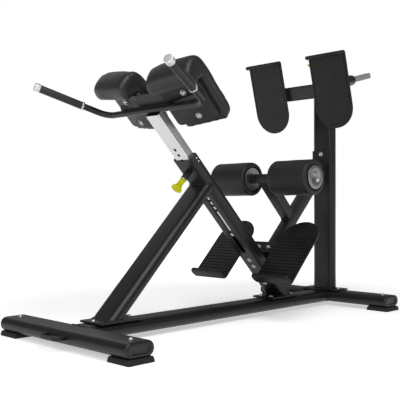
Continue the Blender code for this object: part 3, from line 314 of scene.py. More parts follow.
def cut(made, tools):
    """Take closed tool shapes out of a piece with an exact Boolean, and keep the result."""
    for verts, faces in tools:
        mesh = bpy.data.meshes.new("tool")
        mesh.from_pydata(verts.tolist(), [], faces)
        faced_out(mesh)
        tool = bpy.data.objects.new("tool", mesh)
        scene.collection.objects.link(tool)
        away = made.modifiers.new("away", "BOOLEAN")
        away.operation, away.solver, away.object = "DIFFERENCE", "EXACT", tool
    bpy.context.view_layer.update()
    result = shown(made)
    for away in list(made.modifiers):
        bpy.data.objects.remove(away.object)
        made.modifiers.remove(away)
    made.data = result
    result.set_sharp_from_angle(angle=math.radians(40))


GROWN = oblong(0.1156, 0.0506, 0.0248, 12)
cut(spine, [solid([bar(GROWN, axes(at(station, -0.1, TUBE_MID), (0, 1, 0), (0, 0, 1)), 0.2)])
            for _, station in ENDS])

# The end plugs: moulded black plastic, a rounded head over the tube's end with a shallow
# oval dish in it. They are pushed into the bore.
plug_plastic = finish("plug_plastic", ((0.010, 0.010, 0.0105), (0.014, 0.014, 0.0145)),
                      (0.34, 0.44), ("noise", 1400.0, 0.0002, 0.15), drift=12.0)
HANDS = (("left", 1), ("right", -1))


def lifted(outline, level):
    """Outline with one height at all of its points."""
    return np.column_stack([outline, np.full(len(outline), level)])


def plug_head():
    """Rings in x, y and height: the tube's outline, a quarter round, a flat and the dish."""
    dish = oblong(0.080, 0.028, 0.0138, 12)
    turn = np.linspace(0.0, np.pi / 2, 8)
    inset = 0.0080 * (1 - np.cos(turn))
    height = 0.0150 - 0.0080 * (1 - np.sin(turn))
    half = np.array((0.0575, 0.025))
    rings = [lifted(TUBE, 0.0003)]
    rings += [lifted(TUBE * (1 - step / half), level) for step, level in zip(inset, height)]
    rings += [lifted(dish * (1 - share), level) for share, level in
              ((0.0, 0.0150), (0.03, 0.0144), (0.06, 0.0112), (0.12, 0.0104))]
    return rings


for end_name, station in ENDS:
    for hand, side in HANDS:
        local = axes(at(station, side * 0.3453, TUBE_MID), (0, side, 0), (0, 0, 1))
        piece(f"{end_name}_{hand}_plug_head", solid([placed(plug_head(), local)]), plug_plastic,
              "frame", [f"{end_name}_{hand}_end_plug"])

# The feet: black rubber blocks, square, drafted from a short upright skirt to the tube.
foot_rubber = finish("foot_rubber", ((0.008, 0.008, 0.008), (0.014, 0.014, 0.014)),
                     (0.62, 0.78), ("noise", 900.0, 0.0003, 0.35), drift=20.0)


def foot_rings():
    """Square outlines stacked from the floor: skirt, draft, then a small round on top."""
    outline = oblong(0.1065, 0.1065, 0.006, 5)
    return np.array([lifted(outline * (1 - inset / 0.05325), level) for level, inset in
                     ((0.0000, 0.0008), (0.0008, 0.0000), (0.0055, 0.0000), (0.0168, 0.0030),
                      (0.0177, 0.0040))])


for end_name, station in ENDS:
    for hand, side in HANDS:
        piece(f"{end_name}_{hand}_rubber_foot",
              solid([foot_rings() + at(station, side * 0.3135, 0)]), foot_rubber,
              "frame", [f"{end_name}_{hand}_foot"])

# The grab handle: a flat steel strap on edge, bent into a shallow loop and welded to the
# front tube, so that the bench can be lifted by one end and dragged.


def rounded_path(points, radius, steps=10):
    """Polyline whose corners become arcs: each runs between its two tangent points."""
    points = [np.asarray(point, float) for point in points]
    path = [points[0]]
    for before, corner, after in zip(points, points[1:], points[2:]):
        back = (before - corner) / np.linalg.norm(before - corner)
        ahead = (after - corner) / np.linalg.norm(after - corner)
        half = math.acos(np.clip(back.dot(ahead), -1, 1)) / 2
        middle = corner + (back + ahead) / np.linalg.norm(back + ahead) * radius / math.sin(half)
        start = corner + back * radius / math.tan(half) - middle
        end = corner + ahead * radius / math.tan(half) - middle
        sweep = math.acos(np.clip(start.dot(end) / radius ** 2, -1, 1))
        share = np.linspace(0, 1, steps + 1)[:, None]
        path.extend(middle + (start * np.sin((1 - share) * sweep) + end * np.sin(share * sweep))
                    / math.sin(sweep))
    path.append(points[-1])
    return np.array(path)


def carried(section, path, up=None, closed=False):
    """Rings of a section carried along a path, its Y held toward up or turned least."""
    ahead = np.roll(path, -1, 0) - path
    behind = path - np.roll(path, 1, 0)
    if not closed:
        ahead[-1], behind[0] = behind[-1], ahead[0]
    tangent = ahead / np.linalg.norm(ahead, axis=1, keepdims=True) \
        + behind / np.linalg.norm(behind, axis=1, keepdims=True)
    tangent /= np.linalg.norm(tangent, axis=1, keepdims=True)
    rings = []
    hold = np.array(up, float) if up is not None else np.array((0.0, 0.0, 1.0))
    if up is None and abs(tangent[0].dot(hold)) > 0.9:
        hold = np.array((1.0, 0.0, 0.0))
    for point, along in zip(path, tangent):
        y = hold - along * hold.dot(along)
        y /= np.linalg.norm(y)
        if up is None:
            hold = y
        x = np.cross(y, along)
        rings.append(point + section[:, :1] * x + section[:, 1:] * y)
    return np.array(rings)


handle_path = rounded_path([at(-0.0574, 0.052, 0.0445), at(-0.093, 0.052, 0.0445),
                            at(-0.093, -0.052, 0.0445), at(-0.0574, -0.052, 0.0445)], 0.020)
painted("grab_handle_strap",
        solid([carried(oblong(0.008, 0.014, 0.0022, 4), handle_path, (0, 0, 1))]),
        "frame", ["grab_handle"])

# The welds: a torch run round each joint, ground nowhere, under the same paint. Each is a
# thin round bead whose radius rises and falls a little along its length.


def bead(path, radius=0.0030, pitch=0.006):
    """Rings round a closed path, radius swelling as the sine of the distance run."""
    path = np.asarray(path)
    step = np.linalg.norm(np.roll(path, -1, 0) - path, axis=1)
    total = step.sum()
    count = max(int(total / 0.0016), 24)
    walk = np.concatenate([[0.0], np.cumsum(step)])
    loop = np.vstack([path, path[:1]])
    even = np.arange(count) * total / count
    dense = np.column_stack([np.interp(even, walk, loop[:, i]) for i in range(3)])
    waves = max(round(total / pitch), 4)
    swell = 1 + 0.16 * np.sin(2 * np.pi * waves * np.arange(count) / count)
    round_section = oblong(2.0, 2.0, 1.0, 2)
    rings = carried(round_section, dense, closed=True)
    return dense[:, None] + (rings - dense[:, None]) * (radius * swell)[:, None, None]


def joint_line(section, local, normal, point, grow=1.02):
    """Section slid along its local Z until it meets the plane through point."""
    flat = placed(lifted(section * grow, 0.0), local)
    normal = np.asarray(normal, float)
    reach = (np.asarray(point) - flat) @ normal / (local[3] @ normal)
    return flat + reach[:, None] * local[3]


def coped_line(section, local, centre, edge, level, flat, middle):
    """Section slid along its local Z onto a flat-oval tube whose centre line it meets.

    The tube's side is where the half-depth is level plus the circle of 24.5 mm, taken at the
    section's distance from the middle along its own axis number edge, less the flat.
    """
    section = section * 1.01
    off = np.clip(np.abs(section[:, edge]) - flat, 0, 0.02449)
    rise = centre - middle * (level + np.sqrt(0.0245 ** 2 - off ** 2) + 0.0006)
    return placed(np.column_stack([section, rise]), local)


# The front leg: the same oval tube, leaning back at 45 degrees from a bolted base plate to
# the sleeve that it props, mitred at its foot and welded at both ends.
# x + z is COLUMN_SUM along the column's middle line, and x - z is LEG_GAP along the leg's.
RISE, CLIMB = np.array((1, 0, 1)) / math.sqrt(2), np.array((-1, 0, 1)) / math.sqrt(2)
COLUMN_SUM, LEG_GAP, FOOT_CUT = 1.199, 0.0793, 0.0763
leg_axes = axes(at(FOOT_CUT + LEG_GAP, 0, FOOT_CUT), RISE)
leg_long = (COLUMN_SUM - 2 * FOOT_CUT - LEG_GAP) / math.sqrt(2)
leg = painted("front_leg_steel", solid([bar(OVAL, leg_axes, leg_long - 0.0005, ((0, 0, -1), None))]),
              "frame", ["front_leg"])
column = np.array([at(COLUMN_SUM / 2, 0, COLUMN_SUM / 2), RISE, (0, 1, 0), CLIMB])


def moved(local, way):
    """The same frame, moved along its own Z."""
    return np.array([placed((0, 0, way), local), *local[1:]])


def upward(x, z):
    """Frame on the bench's middle plane whose Z points up."""
    return axes(at(x, 0, z), (0, 0, 1))


def base_plate(x, long, wide):
    """Rings of a bolted plate on a floor tube, its edges eased."""
    return bar(oblong(long, wide, 0.004, 3), upward(x, 0.0683), 0.0074, ease=0.0012)


cut(leg, [solid([bar(oblong(0.0506, 0.1156, 0.0248, 12), moved(column, -0.2), 0.25)])])
for name, low, high, wide in (("leg", 0.0780, 0.2700, 0.117), ("column", 1.0100, 1.1900, 0.115)):
    painted(f"{name}_plate_steel", solid([base_plate((low + high) / 2, high - low, wide)]),
            "frame", [f"{name}_base_plate"])
coat(["brace_bracket", "head_bracket"], powder_coat)
welds = [bead(joint_line(OVAL, leg_axes, (0, 0, 1), at(0, 0, 0.0768)), 0.0032),
         bead(coped_line(OVAL, leg_axes, leg_long, 1, 0.0005, 0.033, 1), 0.0028)]
for station, way in ((0.0, 1), (REAR, -1)):
    spine_end = axes(at(station, 0, TUBE_MID), (way, 0, 0))
    welds.append(bead(coped_line(OVAL, spine_end, 0.0, 0, 0.033, 0.0005, -1), 0.0026))

# The sleeve of the column: oval tube leaning forward at 45 degrees, slotted up its front
# face so that the stop of the post can be seen, with the bore of the pull-pin near its mouth.


def ring_wall(outline, inner, local, length, cuts=(None, None)):
    """Closed rings of a hollow bar: out along the outside, back along the bore."""
    outside = bar(outline, local, length, cuts)
    inside = bar(inner, local, length, cuts)
    return np.array([outside[0], outside[1], inside[1], inside[0]])


def disc_bar(radius, local, length, steps=8):
    """Round bar, for bores and shanks."""
    return solid([bar(oblong(2 * radius, 2 * radius, radius, steps), local, length)])


PIN = 0.035
sleeve_low = -(COLUMN_SUM - 2 * FOOT_CUT) / math.sqrt(2)
sleeve_axes = moved(column, sleeve_low)
sleeve = painted("column_sleeve_steel",
                 solid([ring_wall(OVAL, oblong(0.044, 0.109, 0.0215, 12), sleeve_axes,
                                  0.090 - sleeve_low, ((0, 0, -1), None))], closed=True),
                 "frame", ["column_sleeve"])
slot_axes = axes(placed((-0.035, 0, -0.266), column), RISE)
pin_axes = axes(placed((-0.035, 0, PIN), column), RISE)
cut(sleeve, [solid([bar(oblong(0.342, 0.021, 0.0105), slot_axes, 0.020)]),
             disc_bar(0.0066, pin_axes, 0.020)])
welds.append(bead(joint_line(OVAL, sleeve_axes, (0, 0, 1), at(0, 0, 0.0768)), 0.0032))

# The liner and the glide: black plastic, one in the sleeve's mouth and one on the post's
# foot, with the bushings of the foot carriage's guide of the same stuff.
bearing_plastic = finish("bearing_plastic", ((0.009, 0.009, 0.009), (0.013, 0.013, 0.013)),
                         (0.36, 0.46), ("noise", 600.0, 0.0003, 0.1), drift=15.0)
POST = oblong(0.040, 0.070, 0.005, 12)
for name, low, high, outline, body in (
        ("column_liner", -0.020, 0.089, oblong(0.0434, 0.1084, 0.0212, 12), "frame"),
        ("post_glide", -0.342, -0.306, oblong(0.0432, 0.1082, 0.0211, 12), "pad_carriage")):
    piece(f"{name}_plastic",
          solid([ring_wall(outline, POST * (1.015, 1.0086), moved(column, low), high - low)],
                closed=True),
          bearing_plastic, body, [name])

# The post: satin-chromed rectangular tube with its row of holes. Its unplated inside is a thin
# skin of its own, painted near-black as painted shade in the tube, so that the holes look dark.
# Its stop bolt is bright zinc.
chrome = finish("bright_chrome", ((0.60, 0.61, 0.62), (0.66, 0.67, 0.68)), (0.14, 0.22),
                ("noise", 1200.0, 0.0002, 0.03), metallic=1.0, drift=8.0)
zinc = finish("bright_zinc", ((0.55, 0.56, 0.57), (0.70, 0.71, 0.72)), (0.24, 0.36),
              ("noise", 1500.0, 0.0003, 0.10), metallic=1.0, drift=60.0)
post_chrome = finish("satin_chrome", ((0.86, 0.865, 0.87), (0.90, 0.905, 0.91)), (0.16, 0.22),
                     ("noise", 1200.0, 0.0002, 0.02), metallic=0.9, drift=4.0)
post_axes = moved(column, -0.340)
# Painted shade: near-black, non-metallic steel for the post's inside, standing in for the shade in
# the tube.
bare_steel_painted_shade = finish("bare_steel_painted_shade", ((0.010, 0.009, 0.008), (0.016, 0.014, 0.012)), (0.60, 0.75),
                    ("noise", 500.0, 0.0003, 0.2), drift=20.0)
post_skin = oblong(0.0394, 0.0694, 0.0047, 12)
post = piece("pad_post_chrome", solid([ring_wall(POST, post_skin, post_axes, 0.6553)], closed=True),
             post_chrome, "pad_carriage", ["pad_post"])
# The inside skin carries painted shade, so that the post's holes look dark.
post_inside = piece("pad_post_inside_painted_shade",
                    solid([ring_wall(post_skin * 0.999, oblong(0.034, 0.064, 0.002, 12), post_axes,
                                     0.6551)], closed=True),
                    bare_steel_painted_shade, "pad_carriage")
for shell in (post, post_inside):
    cut(shell, [disc_bar(0.0071, axes(placed((-0.027, 0, PIN + 0.0275 * i), column), RISE), 0.016)
                for i in range(-8, 5)])
coat(["stop_bolt"], zinc)

# The rear upright: a short stub on the bolted socket plate, a thin seam, then the oval tube
# that carries the slide guide, its top cut along the guide.
TILT = math.radians(15.0)
ALONG = np.array((math.cos(TILT), 0, math.sin(TILT)))
OVER = np.array((-math.sin(TILT), 0, math.cos(TILT)))
SLIDE = at(1.300, 0, 0.999)
upright_top = 0.999 + 0.185 * math.tan(TILT) - 0.012 / math.cos(TILT)
painted("upright_stub_steel",
        solid([base_plate(REAR, 0.100, 0.200), bar(OVAL, upward(REAR, 0.0757), 0.0313),
               bar(oblong(0.0434, 0.1084, 0.0215, 12), upward(REAR, 0.100), 0.030)]),
        "frame", ["upright_socket"])
upright = painted("upright_steel",
                  solid([bar(OVAL, upward(REAR, 0.1073), upright_top - 0.1073, (None, OVER))]),
                  "frame", ["upright_post"])
cut(upright, [disc_bar(0.0268, axes(SLIDE - ALONG * 0.02, ALONG), 0.5, 12)])
welds.append(bead(joint_line(OVAL, upward(REAR, 0.080), (0, 0, 1), at(0, 0, 0.0766)), 0.0030))

# The brace and the roller arm: square 50 mm tube. The brace rises from the column to the
# bracket on the upright, and the arm stands square on it under the axle. The lower
# crossbar's flange is under the brace.
SQUARE = oblong(0.050, 0.050, 0.005, 5)
BRACE_GAP, ARM_SUM = 0.799, 1.6185
CROSSBAR_OUT, TREAD_DOWN = 0.9275, 0.690 / math.sqrt(2)
column_back = COLUMN_SUM + 0.050 / math.sqrt(2) + 0.0006
brace_start = at((column_back + BRACE_GAP) / 2, 0, (column_back - BRACE_GAP) / 2)
brace_end = at(1.4517, 0, 0.6527)
brace_axes = axes(brace_start, RISE)
flange_foot = at(0, 0, 0) + RISE * CROSSBAR_OUT - CLIMB * (TREAD_DOWN + 0.0523)
painted("brace_steel",
        solid([bar(SQUARE, brace_axes, np.linalg.norm(brace_end - brace_start), (None, (1, 0, 0))),
               bar(oblong(0.065, 0.086, 0.001, 2), axes(flange_foot, -CLIMB), 0.0035)]),
        "frame", ["brace"])
brace_top = BRACE_GAP - 0.050 / math.sqrt(2) - 0.0006
arm_start = at((ARM_SUM + brace_top) / 2, 0, (ARM_SUM - brace_top) / 2)
arm_end = at(ARM_SUM - 0.5717, 0, 0.5717)
arm_axes = axes(arm_start, CLIMB)
painted("roller_arm_steel",
        solid([bar(SQUARE, arm_axes, np.linalg.norm(arm_end - arm_start), (None, (0, 0, 1)))]),
        "frame", ["roller_arm"])
for local, normal, point, radius in (
        (brace_axes, RISE, brace_start + RISE * 0.0005, 0.0026),
        (brace_axes, (1, 0, 0), brace_end - np.array((0.0008, 0, 0)), 0.0026),
        (arm_axes, CLIMB, arm_start + CLIMB * 0.0005, 0.0026),
        (arm_axes, (0, 0, 1), arm_end - np.array((0, 0, 0.0008)), 0.0022)):
    welds.append(bead(joint_line(SQUARE, local, normal, point), radius))

# The slide guide: a thick-walled round tube through the top of the upright, with the boss
# of its pull-pin on top. Its bushings are round outside, with square openings for the bar.


def circle(radius, steps):
    """Points once round a circle, from the local X."""
    angle = np.linspace(0, 2 * np.pi, steps, endpoint=False)
    return radius * np.stack([np.cos(angle), np.sin(angle)], -1)


def turned(profile, local, steps=64):
    """Rings of a profile of (radius, height) points turned once round the local Z."""
    return placed([lifted(circle(radius, steps), height) for radius, height in profile], local)


def eased(profile, radii, steps=4):
    """Profile with the corner at each listed index rounded by an arc of that radius."""
    points = []
    for index, point in enumerate(profile):
        radius = radii.get(index, 0.0)
        if not radius:
            points.append(point)
            continue
        three = [profile[index - 1], point, profile[(index + 1) % len(profile)]]
        arc = rounded_path([(*p, 0.0) for p in three], radius, steps)[1:-1]
        points.extend(tuple(p[:2]) for p in arc)
    return points


UPPER_PIN = 0.115
guide_axes = axes(SLIDE + ALONG * 0.046, ALONG)
guide_wall = eased([(0.02647, 0.0), (0.02647, 0.388), (0.02247, 0.388), (0.02247, 0.0)],
                   {0: 0.0012, 1: 0.0012, 2: 0.0008, 3: 0.0008})
boss = eased([(0.0056, 0.0228), (0.0125, 0.0228), (0.0125, 0.0274), (0.0056, 0.0274)],
             {2: 0.0006})
painted("slide_guide_steel",
        solid([turned(guide_wall, guide_axes),
               turned(boss, axes(SLIDE + ALONG * UPPER_PIN, OVER), 40)], closed=True),
        "frame", ["slide_guide"])
bush_hole = oblong(0.0306, 0.0306, 0.0033, 11)
for end_name, along, way in (("front", 0.046, -1), ("rear", 0.434, 1)):
    rings = [lifted(oblong(2 * radius, 2 * radius, radius, 11), level)
             for radius, level in ((0.0244, 0.0045), (0.02547, 0.0035), (0.02547, 0.0003),
                                   (0.02217, 0.0003), (0.02217, -0.030))]
    rings += [lifted(bush_hole, -0.030), lifted(bush_hole, 0.0045)]
    piece(f"{end_name}_bushing_plastic",
          solid([placed(rings, axes(SLIDE + ALONG * along, way * ALONG))], closed=True),
          bearing_plastic, "frame", [f"{end_name}_guide_bushing"])
for face_x in (REAR - 0.0253, REAR + 0.0253):
    welds.append(bead(joint_line(circle(0.0268, 96), guide_axes, (1, 0, 0), at(face_x, 0, 0), 1.0),
                      0.0024))

# The slide bar and the crossbars: a chromed 30 mm square bar with its row of holes, welded
# to a flat tube across. The lower crossbar is bolted to the brace. Spacers carry the plates.
rod_axes = axes(SLIDE + ALONG * 0.0301, ALONG)
rod = piece("slide_rod_chrome", solid([bar(oblong(0.030, 0.030, 0.003, 5), rod_axes, 0.5729,
                                           ease=0.0008)]),
            post_chrome, "foot_carriage", ["slide_rod"])
cut(rod, [disc_bar(0.0056, axes(SLIDE + ALONG * (UPPER_PIN + 0.030 * i) + OVER * 0.008, OVER), 0.02)
          for i in range(9)])
BAR_SECTION = oblong(0.065, 0.028, 0.005, 5)
SPACER = oblong(0.053, 0.128, 0.003, 3)


def crossbar(name, body, middle, ahead, replaced):
    """Flat tube across the bench with an eased spacer block toward each plate."""
    tube = axes(middle - ahead * 0.014 - np.array((0, 0.215, 0)), (0, 1, 0), ahead)
    parts = [bar(BAR_SECTION, tube, 0.430, ease=0.001)]
    for side in (-1, 1):
        foot = axes(middle - ahead * 0.001 + np.array((0, side * 0.148, 0)), ahead)
        parts.append(bar(SPACER, foot, 0.0167, ease=0.001))
    painted(name, solid(parts), body, [replaced])


UPPER_TREAD = -0.0222
lower_face = at(0, 0, 0) + RISE * CROSSBAR_OUT - CLIMB * (TREAD_DOWN + 0.024)
upper_face = SLIDE + ALONG * (UPPER_TREAD + 0.024)
crossbar("lower_crossbar_steel", "frame", lower_face, CLIMB, "lower_crossbar")
crossbar("upper_crossbar_steel", "foot_carriage", upper_face, -ALONG, "upper_crossbar")
painted("rod_weld", solid([bead(joint_line(oblong(0.0306, 0.0306, 0.0033, 4), rod_axes, ALONG,
                                           upper_face + ALONG * 0.0285, 1.0), 0.0024)],
                          closed=True), "foot_carriage")
painted("frame_welds", solid(welds, closed=True), "frame", smooth=60)

# The footplates: black moulded plates with a half-round end, a plain border, fine ribs across
# the tread, a dotted line by each edge and a turned-up lip with four small lugs. The ribs
# stand clear on the lower pair and are faint on the upper one.
plate_plastic = finish("footplate_plastic", ((0.006, 0.006, 0.0063), (0.009, 0.009, 0.0093)),
                       (0.40, 0.50), ("noise", 300.0, 0.0002, 0.05), drift=14.0,
                       Specular_IOR_Level=0.34)
PLATE_HALF, PLATE_LONG = 0.097, 0.339


def tread(groove_depth):
    """Rings along the plate: each is a loop across the face and back under it.

    The half width is 97 mm, then the quarter circle's; the face is lowered in the grooves,
    which are raised cosines 17 mm apart that fade out at the border, and in a dotted line
    10 mm from each edge.
    """
    straight = PLATE_LONG - PLATE_HALF
    along = np.concatenate([np.arange(0.0, straight, 0.00085),
                            straight + PLATE_HALF * np.sin(np.linspace(0, np.pi / 2, 90))])
    half = np.sqrt(np.clip(PLATE_HALF ** 2 - np.clip(along - straight, 0, None) ** 2, 1e-9, None))
    half -= 0.012 - np.sqrt(0.012 ** 2 - np.clip(0.012 - along, 0, None) ** 2)
    across = np.array([0.866, 0.873, 0.880, 0.897, 0.914, 0.921, 0.928, 0.985, 0.994, 1.0])
    across = np.concatenate([-across[::-1], np.linspace(-0.85, 0.85, 29), across])
    drop = np.concatenate([[0.0024, 0.0008, 0.0], np.zeros(43), [0.0, 0.0008, 0.0024]])
    y = half[:, None] * across
    x = np.repeat(along[:, None], len(across), 1)
    inside = np.minimum(half[:, None] - np.abs(y), PLATE_LONG - x - 0.002)
    inside = np.minimum(inside, PLATE_HALF - np.hypot(np.clip(x - straight, 0, None), y))
    fade = np.clip((inside - 0.011) / 0.002, 0, 1) * np.clip((x - 0.024) / 0.002, 0, 1)
    phase = ((x - 0.033) / 0.017 + 0.5) % 1.0 - 0.5
    groove = np.clip(1.6 * np.cos(np.clip(phase * 17 / 3.4, -0.5, 0.5) * np.pi), 0, 1)
    dots = np.clip(3 - np.abs(np.abs(y) - 0.0870) / 0.0010, 0, 1) * (x < straight) * (x > 0.020)
    dots = dots * np.clip(3 * np.cos(2 * np.pi * x / 0.0102) - 0.9, 0, 1)
    face = -groove_depth * groove * fade - 0.0050 * dots - drop
    top = np.stack([x, y, face], -1)
    under = np.stack([x, y * (1 - 0.002 / PLATE_HALF), np.full_like(x, -0.0077)], -1)[:, ::-1]
    return np.concatenate([top, under[:, [0, 1, 24, 47, 48]]], 1)


def lip():
    """Rings through the lip's thickness: a round-cornered upright plate, edges eased."""
    outline = oblong(0.194, 0.043, 0.017, 8)
    rings = []
    for depth, inset in ((0.0, 0.0040), (0.0012, 0.0018), (0.0040, 0.0), (0.0120, 0.0),
                         (0.0148, 0.0018), (0.0160, 0.0040)):
        flat = outline * (1 - inset / np.array((0.097, 0.0215)))
        rings.append(lifted(flat + (0, 0.0135), depth)[:, [2, 0, 1]])
    return np.array(rings)


def plate(name, body, local, replaced, groove_depth):
    """One footplate in its frame: X from the lip to the round end, Z out of the tread."""
    parts = [placed(tread(groove_depth), local), placed(lip(), local)]
    for side in (-1, 1):
        for spot in (0.074, 0.084):
            lug = axes(placed((0.016, side * spot, 0.024), local), local[1], local[2])
            parts.append(turned([(0.0, 0.0025), (0.0022, 0.0021), (0.0034, 0.0008), (0.0036, 0.0),
                                 (0.0036, -0.002), (0.0, -0.002)], lug, 20))
    piece(name, solid(parts), plate_plastic, body, [replaced], smooth=30)


for hand, side in HANDS:
    low = at(0, side * 0.176, 0) + RISE * 0.720 - CLIMB * TREAD_DOWN
    plate(f"lower_{hand}_tread", "frame", np.array([low, RISE, (0, 1, 0), CLIMB]),
          f"lower_{hand}_footplate", 0.0026)
    high = SLIDE + ALONG * UPPER_TREAD + OVER * 0.164 + np.array((0, side * 0.176, 0))
    plate(f"upper_{hand}_tread", "foot_carriage",
          np.array([high, -OVER, (0, -1, 0), -ALONG]), f"upper_{hand}_footplate", 0.0004)

# The rollers: black closed-cell foam pressed on a plastic spool, between a steel inner disc
# and a dished steel cap, on the turned stubs of a square axle.
axle_spot = at(1.0265, 0, 0.592)
stub = eased([(0.0, -0.2515), (0.018, -0.2515), (0.018, 0.2515), (0.0, 0.2515)],
             {1: 0.0015, 2: 0.0015})
painted("roller_axle_steel",
        solid([bar(oblong(0.040, 0.040, 0.004, 5), axes(axle_spot - np.array((0, 0.066, 0)),
                                                        (0, 1, 0), (0, 0, 1)), 0.132, ease=0.001),
               turned(stub, axes(axle_spot, (0, 1, 0), (0, 0, 1)))]),
        "frame", ["roller_axle"])
foam_black = finish("closed_cell_foam", ((0.006, 0.006, 0.0063), (0.009, 0.009, 0.0094)),
                    (0.50, 0.60), ("cells", 1300.0, 0.0004, 0.25), ("noise", 90.0, 0.0012, 0.08),
                    drift=10.0, Sheen_Weight=0.02, Sheen_Roughness=0.5)
spool_plastic = finish("spool_plastic", ((0.010, 0.010, 0.010), (0.014, 0.014, 0.014)),
                       (0.40, 0.50), ("noise", 1200.0, 0.0002, 0.2), drift=20.0)
disc_steel = finish("disc_steel", ((0.26, 0.265, 0.27), (0.32, 0.325, 0.33)), (0.36, 0.46),
                    ("noise", 1500.0, 0.0002, 0.06), metallic=1.0, drift=30.0)


def foam_sleeve(local):
    """Closed profile turned round the axle, its radius breathing with two slow waves."""
    outer = eased([(0.056, 0.2585), (0.056, 0.266), (0.075, 0.266), (0.075, 0.066),
                   (0.056, 0.066), (0.056, 0.0732), (0.0303, 0.0732), (0.0303, 0.2585)],
                  {1: 0.003, 2: 0.011, 3: 0.011, 4: 0.003}, 7)
    outer = np.array(outer)
    long_side = np.linspace(0.252, 0.080, 44)[1:-1]
    split = int(np.argmin(np.hypot(outer[:, 0] - 0.075, outer[:, 1] - 0.252))) + 1
    outer = np.vstack([outer[:split], np.column_stack([np.full(42, 0.075), long_side]),
                       outer[split:]])
    rings = turned(outer, axes((0, 0, 0), (0, 0, 1)), 120)
    turn = np.arctan2(rings[..., 1], rings[..., 0])
    wave = (0.00035 * np.sin(3 * turn + 40 * rings[..., 2])
            + 0.0002 * np.sin(5 * turn - 70 * rings[..., 2]))
    swell = 1 - (0.0005 + wave) * (np.hypot(rings[..., 0], rings[..., 1]) > 0.06) / 0.075
    rings[..., :2] *= swell[..., None]
    return placed(rings, local)


for hand, side in HANDS:
    turning = axes(axle_spot, (0, side, 0))
    body = f"{hand}_roller"
    foam = piece(f"{hand}_foam_sleeve", solid([foam_sleeve(turning)], closed=True), foam_black,
                 body, [f"{hand}_roller_foam"], smooth=60)
    spool = eased([(0.0300, 0.2585), (0.0185, 0.2585), (0.0185, 0.0729), (0.0300, 0.0729)],
                  {0: 0.001})
    piece(f"{hand}_spool_core", solid([turned(spool, turning)], closed=True), spool_plastic,
          body, [f"{hand}_roller_spool"])
    flange = eased([(0.0500, 0.0729), (0.0500, 0.0672), (0.0460, 0.0682), (0.0330, 0.0690),
                    (0.0185, 0.0690), (0.0185, 0.0729)], {1: 0.0012, 2: 0.002})
    piece(f"{hand}_inner_disc", solid([turned(flange, turning, 96)], closed=True), disc_steel,
          body)
    dish = [(0.0, 0.2564), (0.006, 0.2565), (0.012, 0.2572), (0.017, 0.2588), (0.0215, 0.2618),
            (0.0250, 0.2660), (0.0275, 0.2695), (0.0295, 0.2711), (0.0320, 0.2718),
            (0.0460, 0.2717), (0.0485, 0.2709), (0.0500, 0.2692), (0.0500, 0.2588),
            (0.0185, 0.2588), (0.0185, 0.2525), (0.0, 0.2525)]
    piece(f"{hand}_dished_cap", solid([turned(dish, turning, 96)]), disc_steel,
          body, [f"{hand}_roller_cap"])

# The handlebar: round 25 mm tube bent twice, lying across the post's top, with a strip of weld
# to the bracket under it, and on each arm a bright ring, a black rubber sleeve and an end cap.
grip_rubber = finish("grip_rubber", ((0.009, 0.009, 0.009), (0.014, 0.014, 0.014)),
                     (0.40, 0.52), ("cells", 900.0, 0.0003, 0.22), ("noise", 300.0, 0.0002, 0.1),
                     drift=16.0)
cap_chrome = finish("cap_chrome", ((0.70, 0.705, 0.71), (0.76, 0.765, 0.77)), (0.26, 0.34),
                    ("noise", 1500.0, 0.0002, 0.04), metallic=0.60, drift=30.0)
bar_node = np.array((0.0017, 0.2716, 0.3281))
bar_end = np.array((-0.1216, 0.3750, 0.5900))
arm_way = (bar_end - bar_node) / np.linalg.norm(bar_end - bar_node)
mirror = np.array((1, -1, 1))
bar_tip = bar_end - arm_way * 0.004
bar_path = placed(rounded_path([bar_tip * mirror, bar_node * mirror, bar_node, bar_tip],
                               0.060, 24), column)
painted("handlebar_steel", solid([carried(oblong(0.025, 0.025, 0.0125, 10), bar_path)]),
        "pad_carriage", ["handlebar"])
bracket_weld = axes(placed((0.0135, -0.092, 0.3365), column), (0, 1, 0), RISE)
painted("bracket_weld", solid([bar(oblong(0.0070, 0.0070, 0.0035, 5), bracket_weld, 0.184,
                                   ease=0.0010)]), "pad_carriage")
for hand, side in HANDS:
    flip = np.array((1, side, 1))
    grip_axes = axes(placed(bar_end * flip, column), (arm_way * flip) @ column[1:])
    ring = eased([(0.0128, -0.2024), (0.0165, -0.2024), (0.0165, -0.1944), (0.0128, -0.1944)],
                 {1: 0.0012, 2: 0.0012})
    piece(f"{hand}_bright_ring", solid([turned(ring, grip_axes)], closed=True), chrome,
          "pad_carriage", [f"{hand}_grip_ring"])
    rubber = eased([(0.0128, -0.1939), (0.0150, -0.1939), (0.0150, -0.0223), (0.0128, -0.0223)],
                   {1: 0.0010, 2: 0.0010})
    sleeve_made = piece(f"{hand}_rubber_grip", solid([turned(rubber, grip_axes)], closed=True),
                        grip_rubber, "pad_carriage", [f"{hand}_grip"])
    cap = eased([(0.0, 0.0), (0.0165, 0.0), (0.0165, -0.0220), (0.0128, -0.0220),
                 (0.0128, -0.0037), (0.0, -0.0037)], {1: 0.0022, 2: 0.0006})
    piece(f"{hand}_end_cap", solid([turned(cap, grip_axes)]), cap_chrome,
          "pad_carriage", [f"{hand}_grip_cap"])

# The pull-pins: a black barrel, a thin bright collar and a lime knob with a wide flat end.
lime = finish("lime_plastic", ((0.58, 0.60, 0.0), (0.68, 0.69, 0.001)), (0.45, 0.55),
              ("noise", 500.0, 0.0002, 0.08), drift=20.0, Specular_IOR_Level=0.15)


